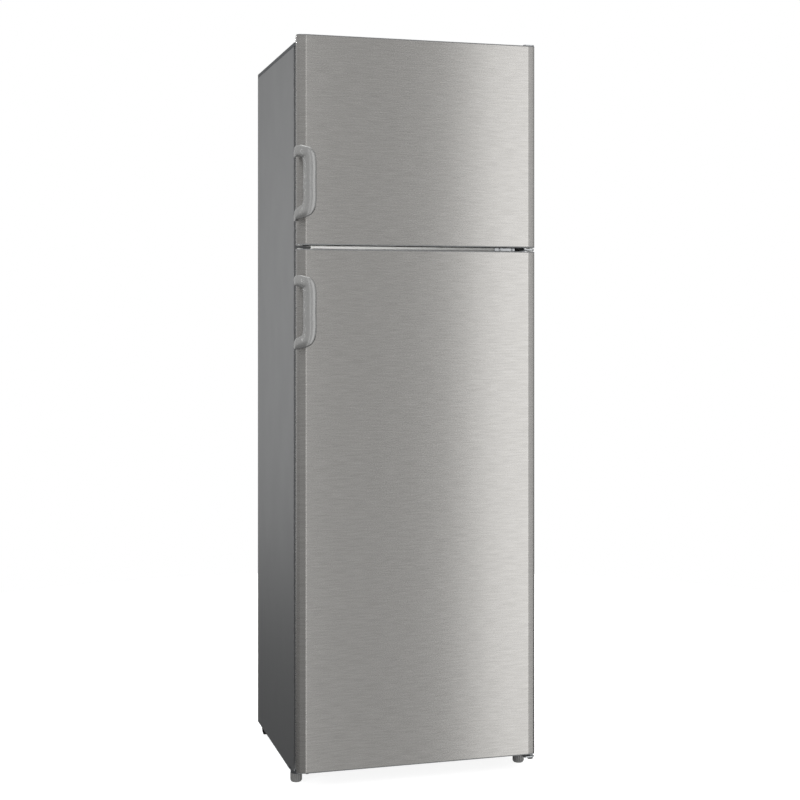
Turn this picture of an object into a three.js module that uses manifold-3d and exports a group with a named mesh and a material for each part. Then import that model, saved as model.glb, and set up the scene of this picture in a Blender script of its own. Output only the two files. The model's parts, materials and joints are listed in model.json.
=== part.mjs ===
// Free-standing top-freezer refrigerator with two right-hinged doors, side-mounted bow handles,
// a rear condenser and a bottom compressor. Millimetres, +Z up, the doors face -Y.
// While it is built, x = 0 is the cabinet's middle, y = 0 the doors' front face and z = 0 the floor;
// the last lines move the origin to the middle of the footprint.
import * as THREE from "three";
import { mergeVertices } from "three/addons/utils/BufferGeometryUtils.js";
import Module from "manifold-3d";

const wasm = await Module();
wasm.setup();

// ---------------------------------------------------------------- driving dimensions
const TOUCH = 0.3; // gap between pieces that touch

// cabinet
const CABINET_WIDTH = 578;
const CABINET_DEPTH = 478; // front flange to the outside of the back panel
const CABINET_BOTTOM = 20; // side panels' lower edge above the floor
const SHEET = 1.2; // painted steel
const BACK_SHEET = 0.8;
const FRONT_FLANGE = 27; // side panels' flange that the magnetic seal meets
const REAR_FLANGE = 14;
const COVER_HEIGHT = 9; // top cover
const COVER_OVERHANG = 7.5; // past the cabinet's front, over the seal's gap
const COVER_WALL = 2.5;
const HINGE_SEAT = 0.6; // depth of the flat pressed into the top cover for the top hinge
const FOOT_NOTCH = [52, 9]; // length and height cut from each side panel's front corner

// doors
const DOOR_TOP = 1750; // above the floor
const DOOR_BOTTOM = 41;
const FREEZER_DOOR = 486.5; // height
const DOOR_GAP = 10; // between the two doors
const DOOR_PAST_SIDE = 5; // each side of a door beyond the cabinet's side
const DOOR_PAST_TOP = 10; // upper door's top above the cabinet's
const DOOR_THICK = 48;
const DOOR_TAPER = 6; // each side draws in by this towards the rear
const SEAL_DEPTH = 15; // from a door's rear to the cabinet's front
const SKIN = 1;
const SKIN_RETURN = 12; // the skin's folded rear edge
const CREASE_INSET = 21; // from a door's side to the crease in its front
const BEVEL_DROP = 4.5; // how far the strip beyond the crease falls back
const CORNER_RADIUS = 8;
const CAP = 2; // end cap's visible thickness
const CAP_PLUG = 12; // end cap's skirt inside the skin
const CAP_WALL = 2;
const LINER = 1.5; // thermoformed sheet
const LINER_MARGIN = 12; // from a door's edge to its liner
const RIDGE_WIDTH = 22; // raised frame on the inside of a door
const FREEZER_RIDGE = 44; // how far it stands into the compartment from the door's rear
const FRIDGE_RIDGE = 52;
const RIDGE_CLEARANCE = 10; // between the ridge and the compartment's walls
const SEAL_WIDTH = 18;
const SEAL_MARGIN = 11; // from a door's ends to its seal
const SEAL_MARGIN_TOP = 22; // at the freezer door's top, to stay under the top cover
const DOOR_SIDE_TO_SEAL = 24; // from a door's widest side to the seal

// insulation and compartments
const SIDE_WALL_FREEZER = 49;
const SIDE_WALL_FRIDGE = 39;
const REAR_WALL = 51;
const ROOF_WALL = 49;
const MULLION = 72; // insulated divider
const FRIDGE_FLOOR = 80; // above the floor of the room
const FOAM_BOTTOM = 55;
const MACHINE_DEPTH = 175; // compressor space, at its base
const MACHINE_HEIGHT = 226; // its ceiling, above the floor of the room
const MACHINE_WALL = 36;
const STEP_LEAN = 15; // how far the step over the compressor leans back

// hinges
const HINGE_INSET = 10; // pin axis in from a door's widest side
const HINGE_BACK = 15; // pin axis behind the doors' front
const PIN_RADIUS = 3.5;
const PIN_CLEARANCE = 0.3;
const PIN_IN_DOOR = 19; // how far a pin reaches into a door
const BUSH_RADIUS = 7;
const PLATE = 3; // hinge plates
const NOSE_RADIUS = 8; // round corner of a hinge plate
const NOSE_FRONT = 3; // a hinge plate's front edge behind the doors' front
const NOSE_WIDTH = 27; // a hinge plate's front edge, ending NOSE_RADIUS beyond the pin
const FLANGE_REACH = 76; // middle hinge's flange, from the pin towards the middle
const PLATE_REACH = 46; // hinge plates, from the pin towards the middle
const TOP_PLATE = 2.5; // top hinge's arm, in the gap over the door
const HINGE_COVER_SIDE = 4; // top hinge cover beyond the hinge
const HINGE_COVER_BACK = 78; // top hinge cover's rear behind the cabinet's front

// feet and rollers
const FOOT_RADIUS = 14.2;
const FOOT_HEIGHT = 25.5;
const COLLAR_RADIUS = 13;
const STUD_RADIUS = 4;
const STUD_CLEARANCE = 0.6;
const FOOT_PAST_SIDE = 4; // foot's rim beyond the cabinet's side
const FOOT_BACK = 20; // foot's axis behind the cabinet's front
const ROLLER_RADIUS = 22;
const ROLLER_WIDTH = 17;
const ROLLER_FROM_BACK = 56;
const AXLE_RADIUS = 3.5;
const ROLLER_TO_BRACKET = 4;

// handles
const HANDLE_HALF = 75; // half the distance between its two arms
const HANDLE_REACH = 42; // bar's inner face ahead of the door's front
const HANDLE_BEND = 24; // radius of the turn from the side to the front
const HANDLE_FOOT_BACK = 45; // rear end of its feet behind the door's front
const HANDLE_BAR_WIDTH = 29;
const HANDLE_ARM_WIDTH = 19;
const HANDLE_BAR_SHIFT = 5.5; // bar's centre to the right of the bend's end
const FREEZER_HANDLE_Z = 139; // centre above the freezer door's lower edge
const FRIDGE_HANDLE_Z = 148; // centre below the fridge door's upper edge

// fittings inside
const GLASS = 4;
const SHELF_FRONT = 130; // shelves' front edge behind the doors' rear
const SHELF_COUNT = 3;
const RIB = 6; // shelf rib in from the liner's wall
const BIN_WALL = 2;
const CRISPER_HEIGHT = 162;
const CRISPER_WALL = 2.5;

const CRISPER_DRAFT = 3; // between the crisper's side and the liner
const ICE_TRAY = [116, 250, 34]; // width, depth and height
const COLD_PLATE = [360, 360]; // width and height
const COLD_PLATE_DROP = 60; // its top below the roof
const CHANNEL_PASSES = 6; // of the channel pressed into the cold plate
const CHANNEL_PITCH = 56;
const CHANNEL_HALF = 4;
const HOUSING = [126, 166, 40]; // lamp housing's width, depth and height
const HOUSING_WALL = 2;
const HOUSING_SIDE = 6; // its side in from the liner's wall
const HOUSING_BEHIND_DOOR = 24; // its front behind the door's ridge
const WINDOW_MARGIN = [20, 62, 22]; // lamp's window in from the housing's sides, front and rear
const SWITCH_RADIUS = 4;
const KNOB_RADIUS = 15;
const SPINDLE_RADIUS = 3;

// condenser
const TUBE_RADIUS = 2.4;
const CONDENSER_STANDOFF = 22; // tube's centre behind the back panel
const CONDENSER_PASSES = 19;
const CONDENSER_MARGIN = 57; // coil's side in from the cabinet's side
const CONDENSER_LEAD = [70, 130]; // its lead forwards into the machine space, and down from the coil
const STRAP = [12, 1.5]; // width and thickness of the coil's straps
const STRAP_PAST_COIL = 26;

// machine space
const BASE_PLATE_Z = 24; // underside, above the floor
const BASE_WALL = 2;
const COMPRESSOR_X = -81; // its axis from the cabinet's middle
const COMPRESSOR_FROM_BACK = 84;
const GROMMET = 14; // compressor's underside above the base plate's
const POT_WIDENED = 1.22; // its width over its depth
const SHELL_RADIUS = 64;
const SEAM_RADIUS = 67;
const POT_HEIGHT = 147;
// (radius, height) up the pot: rounded foot, shell, welded seam flange and dome
const POT_PROFILE = [
  [0, 0],
  [52, 0],
  [62, 10],
  [SHELL_RADIUS, 74],
  [SEAM_RADIUS, 75],
  [SEAM_RADIUS, 81],
  [63.5, 82],
  [62, 112],
  [50, 134],
  [28, 144],
  [0, POT_HEIGHT],
];
const POT_FEET = [98, 52]; // half width and half depth of its foot plate
const RELAY = [44, 64, 66]; // relay cover's width, depth and height
const RELAY_LIFT = 22; // above the pot's underside
const GLAND_RADIUS = 8;
const CORD_HOLE_RADIUS = 3.6;
const DRIP_TRAY = [168, 110, 24]; // width, depth and height
const FILTER_MARGIN = 120; // filter's axis in from the cabinet's side
const FILTER_FROM_BACK = 42;
// (radius, height above the floor) up the filter: capillary end, cartridge and condenser end
const FILTER_PROFILE = [
  [0, 60],
  [2.2, 60],
  [2.2, 74],
  [9.5, 84],
  [9.5, 172],
  [2.2, 182],
  [2.2, 196],
  [0, 196],
];
const SUCTION_RADIUS = 3.2;
const SUCTION_FROM_POT = 26;

// ---------------------------------------------------------------- places worked out from them
const cabinetHalf = CABINET_WIDTH / 2;
const panelInside = cabinetHalf - SHEET - TOUCH;
const front = DOOR_THICK + SEAL_DEPTH; // cabinet's front flange
const back = front + CABINET_DEPTH; // outside of the back panel
const doorRear = DOOR_THICK;
const freezerDoorBottom = DOOR_TOP - FREEZER_DOOR;
const fridgeDoorTop = freezerDoorBottom - DOOR_GAP;
const cabinetTop = DOOR_TOP - DOOR_PAST_TOP;
const wallsTop = cabinetTop - COVER_HEIGHT;
const hingeSeatZ = cabinetTop - HINGE_SEAT + TOUCH;
const flangeInner = cabinetHalf - FRONT_FLANGE;
const mullionMiddle = freezerDoorBottom - DOOR_GAP / 2;
const freezerFloor = mullionMiddle + MULLION / 2 + 1;
const freezerRoof = wallsTop - ROOF_WALL;
const fridgeRoof = mullionMiddle - MULLION / 2 + 1;
const cavityBack = back - REAR_WALL;
const freezerHalf = cabinetHalf - SIDE_WALL_FREEZER;
const fridgeHalf = cabinetHalf - SIDE_WALL_FRIDGE;
const stepTop = MACHINE_HEIGHT + MACHINE_WALL;
const doorHalf = cabinetHalf + DOOR_PAST_SIDE; // where a door's side would meet its bevelled front
const sealHalf = doorHalf - DOOR_SIDE_TO_SEAL;
const pinX = doorHalf - HINGE_INSET;
const pinY = HINGE_BACK;
const footX = cabinetHalf + FOOT_PAST_SIDE - FOOT_RADIUS;
const footY = front + FOOT_BACK;
const rollerX = panelInside - 3 - ROLLER_WIDTH / 2;
const rollerY = back - ROLLER_FROM_BACK;
const plateInner = pinX - PLATE_REACH;
const plateOuter = panelInside - 0.5;
const hingePlateZ = DOOR_BOTTOM - 8; // underside of the bottom hinge's plate
const railZ = hingePlateZ + PLATE + 0.4; // underside of the front base rail
const shelfFrontY = doorRear + SHELF_FRONT;
const condenserHalf = cabinetHalf - CONDENSER_MARGIN;

// ---------------------------------------------------------------- colours
const FINISH = {
  brushedSteel: { color: 0x9a9a98, roughness: 0.35, metalness: 1 },
  paintedGrey: { color: 0x7d7f80, roughness: 0.5, metalness: 0.3 },
  darkPlastic: { color: 0x55585a, roughness: 0.6, metalness: 0 },
  greyPlastic: { color: 0x97989a, roughness: 0.4, metalness: 0.2 },
  whitePlastic: { color: 0xf0f0ee, roughness: 0.4, metalness: 0 },
  clearPlastic: { color: 0xdde8ee, roughness: 0.15, metalness: 0 },
  glass: { color: 0xcfe6df, roughness: 0.05, metalness: 0 },
  foam: { color: 0xe8d9a8, roughness: 0.9, metalness: 0 },
  blackSteel: { color: 0x1b1b1c, roughness: 0.5, metalness: 0.5 },
  zincSteel: { color: 0xc4c6c8, roughness: 0.35, metalness: 1 },
  galvanised: { color: 0xb4b7b9, roughness: 0.45, metalness: 0.9 },
  copper: { color: 0xb87348, roughness: 0.35, metalness: 1 },
  aluminium: { color: 0xc9cbcc, roughness: 0.4, metalness: 1 },
  rubber: { color: 0x2a2a2a, roughness: 0.9, metalness: 0 },
  sealGrey: { color: 0x8d8f90, roughness: 0.8, metalness: 0 },
};
const materials = {};
for (const [name, look] of Object.entries(FINISH)) {
  materials[name] = new THREE.MeshStandardMaterial(look);
}

// ---------------------------------------------------------------- solids
// A closed three.js geometry as a manifold-3d solid.
function solid(geometry) {
  const bare = geometry.index ? geometry.toNonIndexed() : geometry.clone();
  for (const attribute of Object.keys(bare.attributes)) {
    if (attribute !== "position") bare.deleteAttribute(attribute);
  }
  const merged = mergeVertices(bare, 1e-4);
  const vertProperties = merged.attributes.position.array;
  const triVerts = new Uint32Array(merged.index.array);
  return new wasm.Manifold(new wasm.Mesh({ numProp: 3, vertProperties, triVerts }));
}

function geometryOf(made) {
  const mesh = made.getMesh();
  const geometry = new THREE.BufferGeometry();
  geometry.setAttribute("position", new THREE.BufferAttribute(mesh.vertProperties, 3));
  geometry.setIndex(new THREE.BufferAttribute(mesh.triVerts, 1));
  geometry.computeVertexNormals();
  return geometry;
}

function join(...solids) {
  return solids.reduce((all, one) => all.add(one));
}

// A block between two limits on each axis.
function block([x0, x1], [y0, y1], [z0, z1]) {
  const geometry = new THREE.BoxGeometry(x1 - x0, y1 - y0, z1 - z0);
  geometry.translate((x0 + x1) / 2, (y0 + y1) / 2, (z0 + z1) / 2);
  return solid(geometry);
}

// A corner list as a list of points; a corner with a third number is rounded to that radius.
function outline(corners, arcSteps = 4) {
  const points = [];
  corners.forEach(([x, y, radius = 0], i) => {
    const here = new THREE.Vector2(x, y);
    if (!radius) {
      points.push(here);
      return;
    }
    const before = new THREE.Vector2(...corners.at(i - 1)).sub(here).normalize();
    const after = new THREE.Vector2(...corners[(i + 1) % corners.length]).sub(here).normalize();
    const half = Math.acos(THREE.MathUtils.clamp(before.dot(after), -1, 1)) / 2;
    const centre = before.clone().add(after).normalize().multiplyScalar(radius / Math.sin(half)).add(here);
    const start = before.clone().multiplyScalar(radius / Math.tan(half)).add(here).sub(centre);
    const end = after.clone().multiplyScalar(radius / Math.tan(half)).add(here).sub(centre);
    const turn = Math.atan2(start.cross(end), start.dot(end));
    for (let k = 0; k <= arcSteps; k++) {
      points.push(start.clone().rotateAround(new THREE.Vector2(), (turn * k) / arcSteps).add(centre));
    }
  });
  return points;
}

// Corners moved inwards by a distance, for a counter-clockwise corner list; radii shrink with them.
function inset(corners, distance) {
  return corners.map(([x, y, radius = 0], i) => {
    const [px, py] = corners.at(i - 1);
    const [nx, ny] = corners[(i + 1) % corners.length];
    const a = new THREE.Vector2(x - px, y - py).normalize();
    const b = new THREE.Vector2(nx - x, ny - y).normalize();
    const across = new THREE.Vector2(-a.y - b.y, a.x + b.x).normalize();
    const reach = distance / across.dot(new THREE.Vector2(-a.y, a.x));
    const turnsIn = a.cross(b) < 0;
    const left = Math.max(0, radius + (turnsIn ? distance : -distance));
    return [x + across.x * reach, y + across.y * reach, radius ? left : 0];
  });
}

function extrude(points, length) {
  return new THREE.ExtrudeGeometry(new THREE.Shape(points), { depth: length, bevelEnabled: false });
}

// Prisms: an outline in the named plane, stretched along the third axis between two limits.
function prismZ(corners, [z0, z1], arcSteps) {
  return solid(extrude(outline(corners, arcSteps), z1 - z0).translate(0, 0, z0));
}

// corners are (y, z)
function prismX(corners, [x0, x1], arcSteps) {
  const turn = new THREE.Matrix4().set(0, 0, 1, 0, 1, 0, 0, 0, 0, 1, 0, 0, 0, 0, 0, 1);
  return solid(extrude(outline(corners, arcSteps), x1 - x0).applyMatrix4(turn).translate(x0, 0, 0));
}

// corners are (x, z)
function prismY(corners, [y0, y1], arcSteps) {
  const turn = new THREE.Matrix4().makeRotationX(Math.PI / 2);
  return solid(extrude(outline(corners, arcSteps), y1 - y0).applyMatrix4(turn).translate(0, y1, 0));
}

function rectangle([x0, x1], [y0, y1], radius = 0) {
  return [[x0, y0, radius], [x1, y0, radius], [x1, y1, radius], [x0, y1, radius]];
}

// A rod along one axis, centred on two places on the other axes.
function rod(axis, radius, [from, to], [u, v], sides = 20) {
  const geometry = new THREE.CylinderGeometry(radius, radius, to - from, sides);
  const middle = (from + to) / 2;
  if (axis === "x") geometry.rotateZ(Math.PI / 2).translate(middle, u, v);
  if (axis === "y") geometry.translate(u, middle, v);
  if (axis === "z") geometry.rotateX(Math.PI / 2).translate(u, v, middle);
  return solid(geometry);
}

// A turned piece about Z: its profile is (radius, height) and starts and ends on the axis.
function turned(profile, [x, y], sides = 24) {
  const points = profile.map(([r, z]) => new THREE.Vector2(r, z));
  return solid(new THREE.LatheGeometry(points, sides).rotateX(Math.PI / 2).translate(x, y, 0));
}

// A curve whose steps fall exactly on the points it is given.
class StationCurve extends THREE.Curve {
  constructor(stations) {
    super();
    this.stations = stations;
  }
  getPoint(t) {
    const last = this.stations.length - 1;
    const i = Math.min(last - 1, Math.floor(t * last + 1e-9));
    return this.stations[i].clone().lerp(this.stations[i + 1], t * last - i);
  }
  getPointAt(u) {
    return this.getPoint(u);
  }
  getTangentAt(u) {
    const last = this.stations.length - 1;
    const i = Math.round(u * last);
    const ahead = this.stations[Math.min(last, i + 1)];
    return ahead.clone().sub(this.stations[Math.max(0, i - 1)]).normalize();
  }
  getSpacedPoints() {
    return this.stations;
  }
}

// A round tube through stations.
function tube(stations, radius, sides = 8) {
  const ring = new THREE.Shape();
  for (let k = 0; k < sides; k++) {
    const a = (2 * Math.PI * k) / sides;
    ring[k ? "lineTo" : "moveTo"](radius * Math.cos(a), radius * Math.sin(a));
  }
  const steps = stations.length - 1;
  return solid(new THREE.ExtrudeGeometry(ring, { steps, extrudePath: new StationCurve(stations) }));
}

// Corners of a route rounded off: each inner corner becomes an arc of the given radius.
function rounded(corners, radius, arcSteps = 4) {
  const stations = [corners[0]];
  for (let i = 1; i < corners.length - 1; i++) {
    const before = corners[i - 1].clone().sub(corners[i]).normalize();
    const after = corners[i + 1].clone().sub(corners[i]).normalize();
    const half = before.angleTo(after) / 2;
    const run = radius / Math.tan(half);
    const centre = before.clone().add(after).normalize().multiplyScalar(radius / Math.sin(half));
    centre.add(corners[i]);
    const start = before.multiplyScalar(run).add(corners[i]).sub(centre);
    const axis = start.clone().cross(after.clone().multiplyScalar(run).add(corners[i]).sub(centre));
    axis.normalize();
    for (let k = 0; k <= arcSteps; k++) {
      const angle = ((Math.PI - 2 * half) * k) / arcSteps;
      stations.push(start.clone().applyAxisAngle(axis, angle).add(centre));
    }
  }
  stations.push(corners.at(-1));
  return stations;
}

// A closed skin over rings of points that follow one another, with flat ends.
function loft(rings) {
  const count = rings[0].length;
  const positions = rings.flat().flatMap((p) => [p.x, p.y, p.z]);
  const index = [];
  for (let i = 0; i + 1 < rings.length; i++) {
    for (let k = 0; k < count; k++) {
      const a = i * count + k;
      const b = i * count + ((k + 1) % count);
      index.push(a, b, b + count, a, b + count, a + count);
    }
  }
  const lastRing = (rings.length - 1) * count;
  for (let k = 1; k + 1 < count; k++) {
    index.push(0, k + 1, k);
    index.push(lastRing, lastRing + k, lastRing + k + 1);
  }
  const geometry = new THREE.BufferGeometry();
  geometry.setAttribute("position", new THREE.Float32BufferAttribute(positions, 3));
  geometry.setIndex(index);
  return solid(geometry);
}

function mirrorX(made) {
  return made.mirror([1, 0, 0]);
}

// An open-topped tray: limits outside, a wall and a floor thickness, and rounded upright corners.
function tray([x0, x1], [y0, y1], [z0, z1], wall, radius = 6) {
  const outside = prismZ(rectangle([x0, x1], [y0, y1], radius), [z0, z1], 3);
  const inside = rectangle([x0 + wall, x1 - wall], [y0 + wall, y1 - wall], Math.max(1, radius - wall));
  return outside.subtract(prismZ(inside, [z0 + wall, z1 + 1], 3));
}

const root = new THREE.Group();
const cabinet = new THREE.Group();
const freezerDoor = new THREE.Group();
const fridgeDoor = new THREE.Group();
root.add(cabinet, freezerDoor, fridgeDoor);

function add(group, name, finish, made) {
  const mesh = new THREE.Mesh(geometryOf(made), materials[finish]);
  mesh.name = name;
  group.add(mesh);
}

// ---------------------------------------------------------------- cabinet shell
// Folded steel side: an outer sheet with a flange at the front and one at the rear.
function sidePanel() {
  const outer = -cabinetHalf;
  const rear = back - BACK_SHEET - TOUCH;
  const section = [
    [outer, front, 2],
    [outer + FRONT_FLANGE, front],
    [outer + FRONT_FLANGE, front + SHEET],
    [outer + SHEET, front + SHEET],
    [outer + SHEET, rear - SHEET],
    [outer + REAR_FLANGE, rear - SHEET],
    [outer + REAR_FLANGE, rear],
    [outer, rear, 2],
  ];
  const [notchLength, notchHeight] = FOOT_NOTCH;
  const notch = block(
    [outer - 1, outer + FRONT_FLANGE + 1],
    [front - 1, front + notchLength],
    [CABINET_BOTTOM - 1, CABINET_BOTTOM + notchHeight],
  );
  const railSeat = block(
    [outer + SHEET, outer + FRONT_FLANGE + 1],
    [front - 1, front + SHEET + TOUCH],
    [CABINET_BOTTOM - 1, railZ + SHEET + TOUCH],
  );
  return prismZ(section, [CABINET_BOTTOM, wallsTop - TOUCH]).subtract(notch).subtract(railSeat);
}

function topCover() {
  const frontEdge = front - COVER_OVERHANG;
  const outside = rectangle([-cabinetHalf, cabinetHalf], [frontEdge, back], 4);
  const pocket = rectangle(
    [-cabinetHalf + COVER_WALL, cabinetHalf - COVER_WALL],
    [frontEdge + COVER_WALL, back - COVER_WALL],
    2,
  );
  const seat = block(
    [plateInner - HINGE_COVER_SIDE - 1, cabinetHalf + 1],
    [frontEdge - 1, front + HINGE_COVER_BACK + 1],
    [cabinetTop - HINGE_SEAT, cabinetTop + 1],
  );
  const shell = prismZ(outside, [wallsTop, cabinetTop]).subtract(seat);
  return shell.subtract(prismZ(pocket, [wallsTop - 1, cabinetTop - COVER_WALL]));
}

function backPanel() {
  const half = cabinetHalf - 1;
  return block([-half, half], [back - BACK_SHEET, back], [MACHINE_HEIGHT - 12, wallsTop - TOUCH]);
}

// (y, z) corners of the fridge compartment, counter-clockwise, with its step over the compressor.
function fridgeCavity() {
  const floorBack = back - MACHINE_DEPTH - MACHINE_WALL;
  return [
    [front, FRIDGE_FLOOR],
    [floorBack, FRIDGE_FLOOR, 10],
    [floorBack + STEP_LEAN, stepTop, 14],
    [cavityBack, stepTop, 10],
    [cavityBack, fridgeRoof, 10],
    [front, fridgeRoof],
  ];
}

function freezerCavity() {
  return [
    [front, freezerFloor],
    [cavityBack, freezerFloor, 10],
    [cavityBack, freezerRoof, 10],
    [front, freezerRoof],
  ];
}

// A cavity's corners with its mouth moved forwards, so that a cut goes right through the front.
function withMouthAt(corners, mouth, distance) {
  return inset(corners, distance).map(([y, z, r]) => (y < front + 5 ? [mouth, z, r] : [y, z, r]));
}

function cabinetFoam() {
  const face = front + LINER + TOUCH * 2;
  const rear = back - BACK_SHEET - SHEET - TOUCH * 3;
  const machineFront = back - MACHINE_DEPTH;
  const outside = [
    [face, FOAM_BOTTOM],
    [machineFront, FOAM_BOTTOM],
    [machineFront + STEP_LEAN, MACHINE_HEIGHT],
    [rear, MACHINE_HEIGHT],
    [rear, wallsTop - TOUCH],
    [face, wallsTop - TOUCH],
  ];
  const freezer = prismX(withMouthAt(freezerCavity(), front - 5, 0), [-freezerHalf, freezerHalf]);
  const fridge = prismX(withMouthAt(fridgeCavity(), front - 5, 0), [-fridgeHalf, fridgeHalf]);
  return prismX(outside, [-panelInside, panelInside]).subtract(freezer).subtract(fridge);
}

// Thermoformed liner: a thin box open to the front, with a rim over the foam's front face.
function liner(cavity, half, [rimLow, rimHigh], ribHeights) {
  const outside = prismX(withMouthAt(cavity, front + TOUCH, TOUCH), [TOUCH - half, half - TOUCH]);
  const innerHalf = half - TOUCH - LINER;
  const hollow = prismX(withMouthAt(cavity, front - 5, TOUCH + LINER), [-innerHalf, innerHalf]);
  const rimHalf = flangeInner - TOUCH;
  const rim = block([-rimHalf, rimHalf], [front, front + LINER], [rimLow, rimHigh]);
  let made = join(outside, rim).subtract(hollow);
  for (const z of ribHeights) {
    const rib = block(
      [innerHalf - RIB, innerHalf + LINER / 2],
      [shelfFrontY + 12, cavityBack - 14],
      [z - 8, z],
    );
    made = join(made, rib, mirrorX(rib));
  }
  return made;
}

// Heights of the shelves' undersides: evenly spread between the crisper's cover and the roof.
const crisperCoverZ = stepTop + 12;
const shelfPitch = (fridgeRoof - 30 - crisperCoverZ) / (SHELF_COUNT + 1);
const shelfHeights = Array.from({ length: SHELF_COUNT }, (_, i) => crisperCoverZ + shelfPitch * (i + 1));
const freezerShelfZ = (freezerFloor + freezerRoof) / 2;
const rimTopOfFridge = fridgeRoof + SEAL_WIDTH + 4;
const rimBottomOfFreezer = freezerFloor - SEAL_WIDTH - 4;

add(cabinet, "left_side_panel", "paintedGrey", sidePanel());
add(cabinet, "right_side_panel", "paintedGrey", mirrorX(sidePanel()));
add(cabinet, "top_cover", "darkPlastic", topCover());
add(cabinet, "back_panel", "galvanised", backPanel());
add(cabinet, "cabinet_foam", "foam", cabinetFoam());
add(
  cabinet,
  "freezer_liner",
  "whitePlastic",
  liner(freezerCavity(), freezerHalf, [rimBottomOfFreezer, wallsTop - TOUCH], [freezerShelfZ - TOUCH]),
);
add(
  cabinet,
  "fridge_liner",
  "whitePlastic",
  liner(fridgeCavity(), fridgeHalf, [FRIDGE_FLOOR - 12, rimTopOfFridge], [
    crisperCoverZ - TOUCH,
    ...shelfHeights.map((z) => z - TOUCH),
  ]),
);

// Steel rail between the two compartments' rims.
function mullionRail() {
  const half = flangeInner - TOUCH;
  const section = [
    [front, rimTopOfFridge + TOUCH],
    [front + SHEET, rimTopOfFridge + TOUCH],
    [front + SHEET, rimBottomOfFreezer - TOUCH],
    [front, rimBottomOfFreezer - TOUCH],
  ];
  return prismX(section, [-half, half]);
}
add(cabinet, "mullion_rail", "paintedGrey", mullionRail());

// Steel angle under the fridge compartment's mouth; the hinge and foot plates bolt under it.
function frontBaseRail() {
  const face = block(
    [TOUCH - flangeInner, flangeInner - TOUCH],
    [front, front + SHEET],
    [railZ, FRIDGE_FLOOR - 12 - TOUCH],
  );
  const leg = block([-panelInside, panelInside], [front, front + 66], [railZ, railZ + SHEET]);
  let rail = join(face, leg);
  for (const x of [-footX, footX]) {
    rail = rail.subtract(rod("z", STUD_RADIUS + STUD_CLEARANCE, [railZ - 1, railZ + 3], [x, footY]));
  }
  return rail;
}
add(cabinet, "front_base_rail", "paintedGrey", frontBaseRail());

// ---------------------------------------------------------------- hinges
// A flat plate in plan: a front edge under the door's corner, widening back to the cabinet.
function hingePlan(x0, x1, yBack) {
  const noseOuter = pinX + NOSE_RADIUS;
  const noseInner = noseOuter - NOSE_WIDTH;
  return [
    [noseInner, NOSE_FRONT, NOSE_RADIUS / 2],
    [noseOuter, NOSE_FRONT, NOSE_RADIUS],
    [noseOuter, pinY + NOSE_RADIUS / 2],
    [x1, pinY + NOSE_RADIUS + 3],
    [x1, yBack],
    [x0, yBack],
    [x0, front - NOSE_RADIUS],
    [noseInner, pinY + NOSE_RADIUS],
  ];
}

function bottomHinge() {
  const plate = prismZ(hingePlan(plateInner, plateOuter, footY + 37), [hingePlateZ, hingePlateZ + PLATE]);
  const pin = rod("z", PIN_RADIUS, [hingePlateZ, DOOR_BOTTOM + PIN_IN_DOOR], [pinX, pinY]);
  const nut = rod("z", 7, [hingePlateZ - 6, hingePlateZ + 1], [pinX, pinY], 6);
  const through = [hingePlateZ - 1, hingePlateZ + PLATE + 1];
  const studHole = rod("z", STUD_RADIUS + STUD_CLEARANCE, through, [footX, footY]);
  return join(plate, pin, nut).subtract(studHole);
}

function footBracket() {
  const plan = rectangle([-plateOuter, -plateInner], [front + 3, footY + 37], 3);
  const plate = prismZ(plan, [hingePlateZ, hingePlateZ + PLATE]);
  const skirtZ = [CABINET_BOTTOM + FOOT_NOTCH[1] - TOUCH, hingePlateZ + 1];
  const skirt = block([-plateOuter, -plateOuter + SHEET], [front + 3, footY + 37], skirtZ);
  const hole = rod("z", STUD_RADIUS + STUD_CLEARANCE, [hingePlateZ - 1, hingePlateZ + 4], [-footX, footY]);
  return join(plate, skirt).subtract(hole);
}

function middleHinge() {
  const low = mullionMiddle - PLATE / 2;
  const wide = pinX - FLANGE_REACH;
  const arm = prismZ(hingePlan(plateInner, plateOuter, front - TOUCH), [low, low + PLATE]);
  const flange = prismY(
    rectangle([wide, plateOuter], [rimTopOfFridge + 1, rimBottomOfFreezer - 1], 3),
    [front - TOUCH - 2.5, front - TOUCH],
    2,
  );
  const pin = rod(
    "z",
    PIN_RADIUS,
    [fridgeDoorTop - PIN_IN_DOOR, freezerDoorBottom + PIN_IN_DOOR],
    [pinX, pinY],
  );
  return join(arm, flange, pin);
}

function topHinge() {
  const armZ = DOOR_TOP + 0.8;
    const stepY = front + 12;
  const armTop = armZ + TOP_PLATE;
  const arm = prismZ(hingePlan(plateInner, plateOuter, stepY), [armZ, armTop]);
  const step = block([plateInner, plateOuter], [stepY - PLATE, stepY], [hingeSeatZ, armTop]);
  const base = block(
    [plateInner, plateOuter],
    [stepY - PLATE, stepY + 60],
    [hingeSeatZ, hingeSeatZ + PLATE],
  );
  const pin = rod("z", PIN_RADIUS, [DOOR_TOP - PIN_IN_DOOR, armZ + 1], [pinX, pinY]);
  return join(arm, step, base, pin);
}

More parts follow.
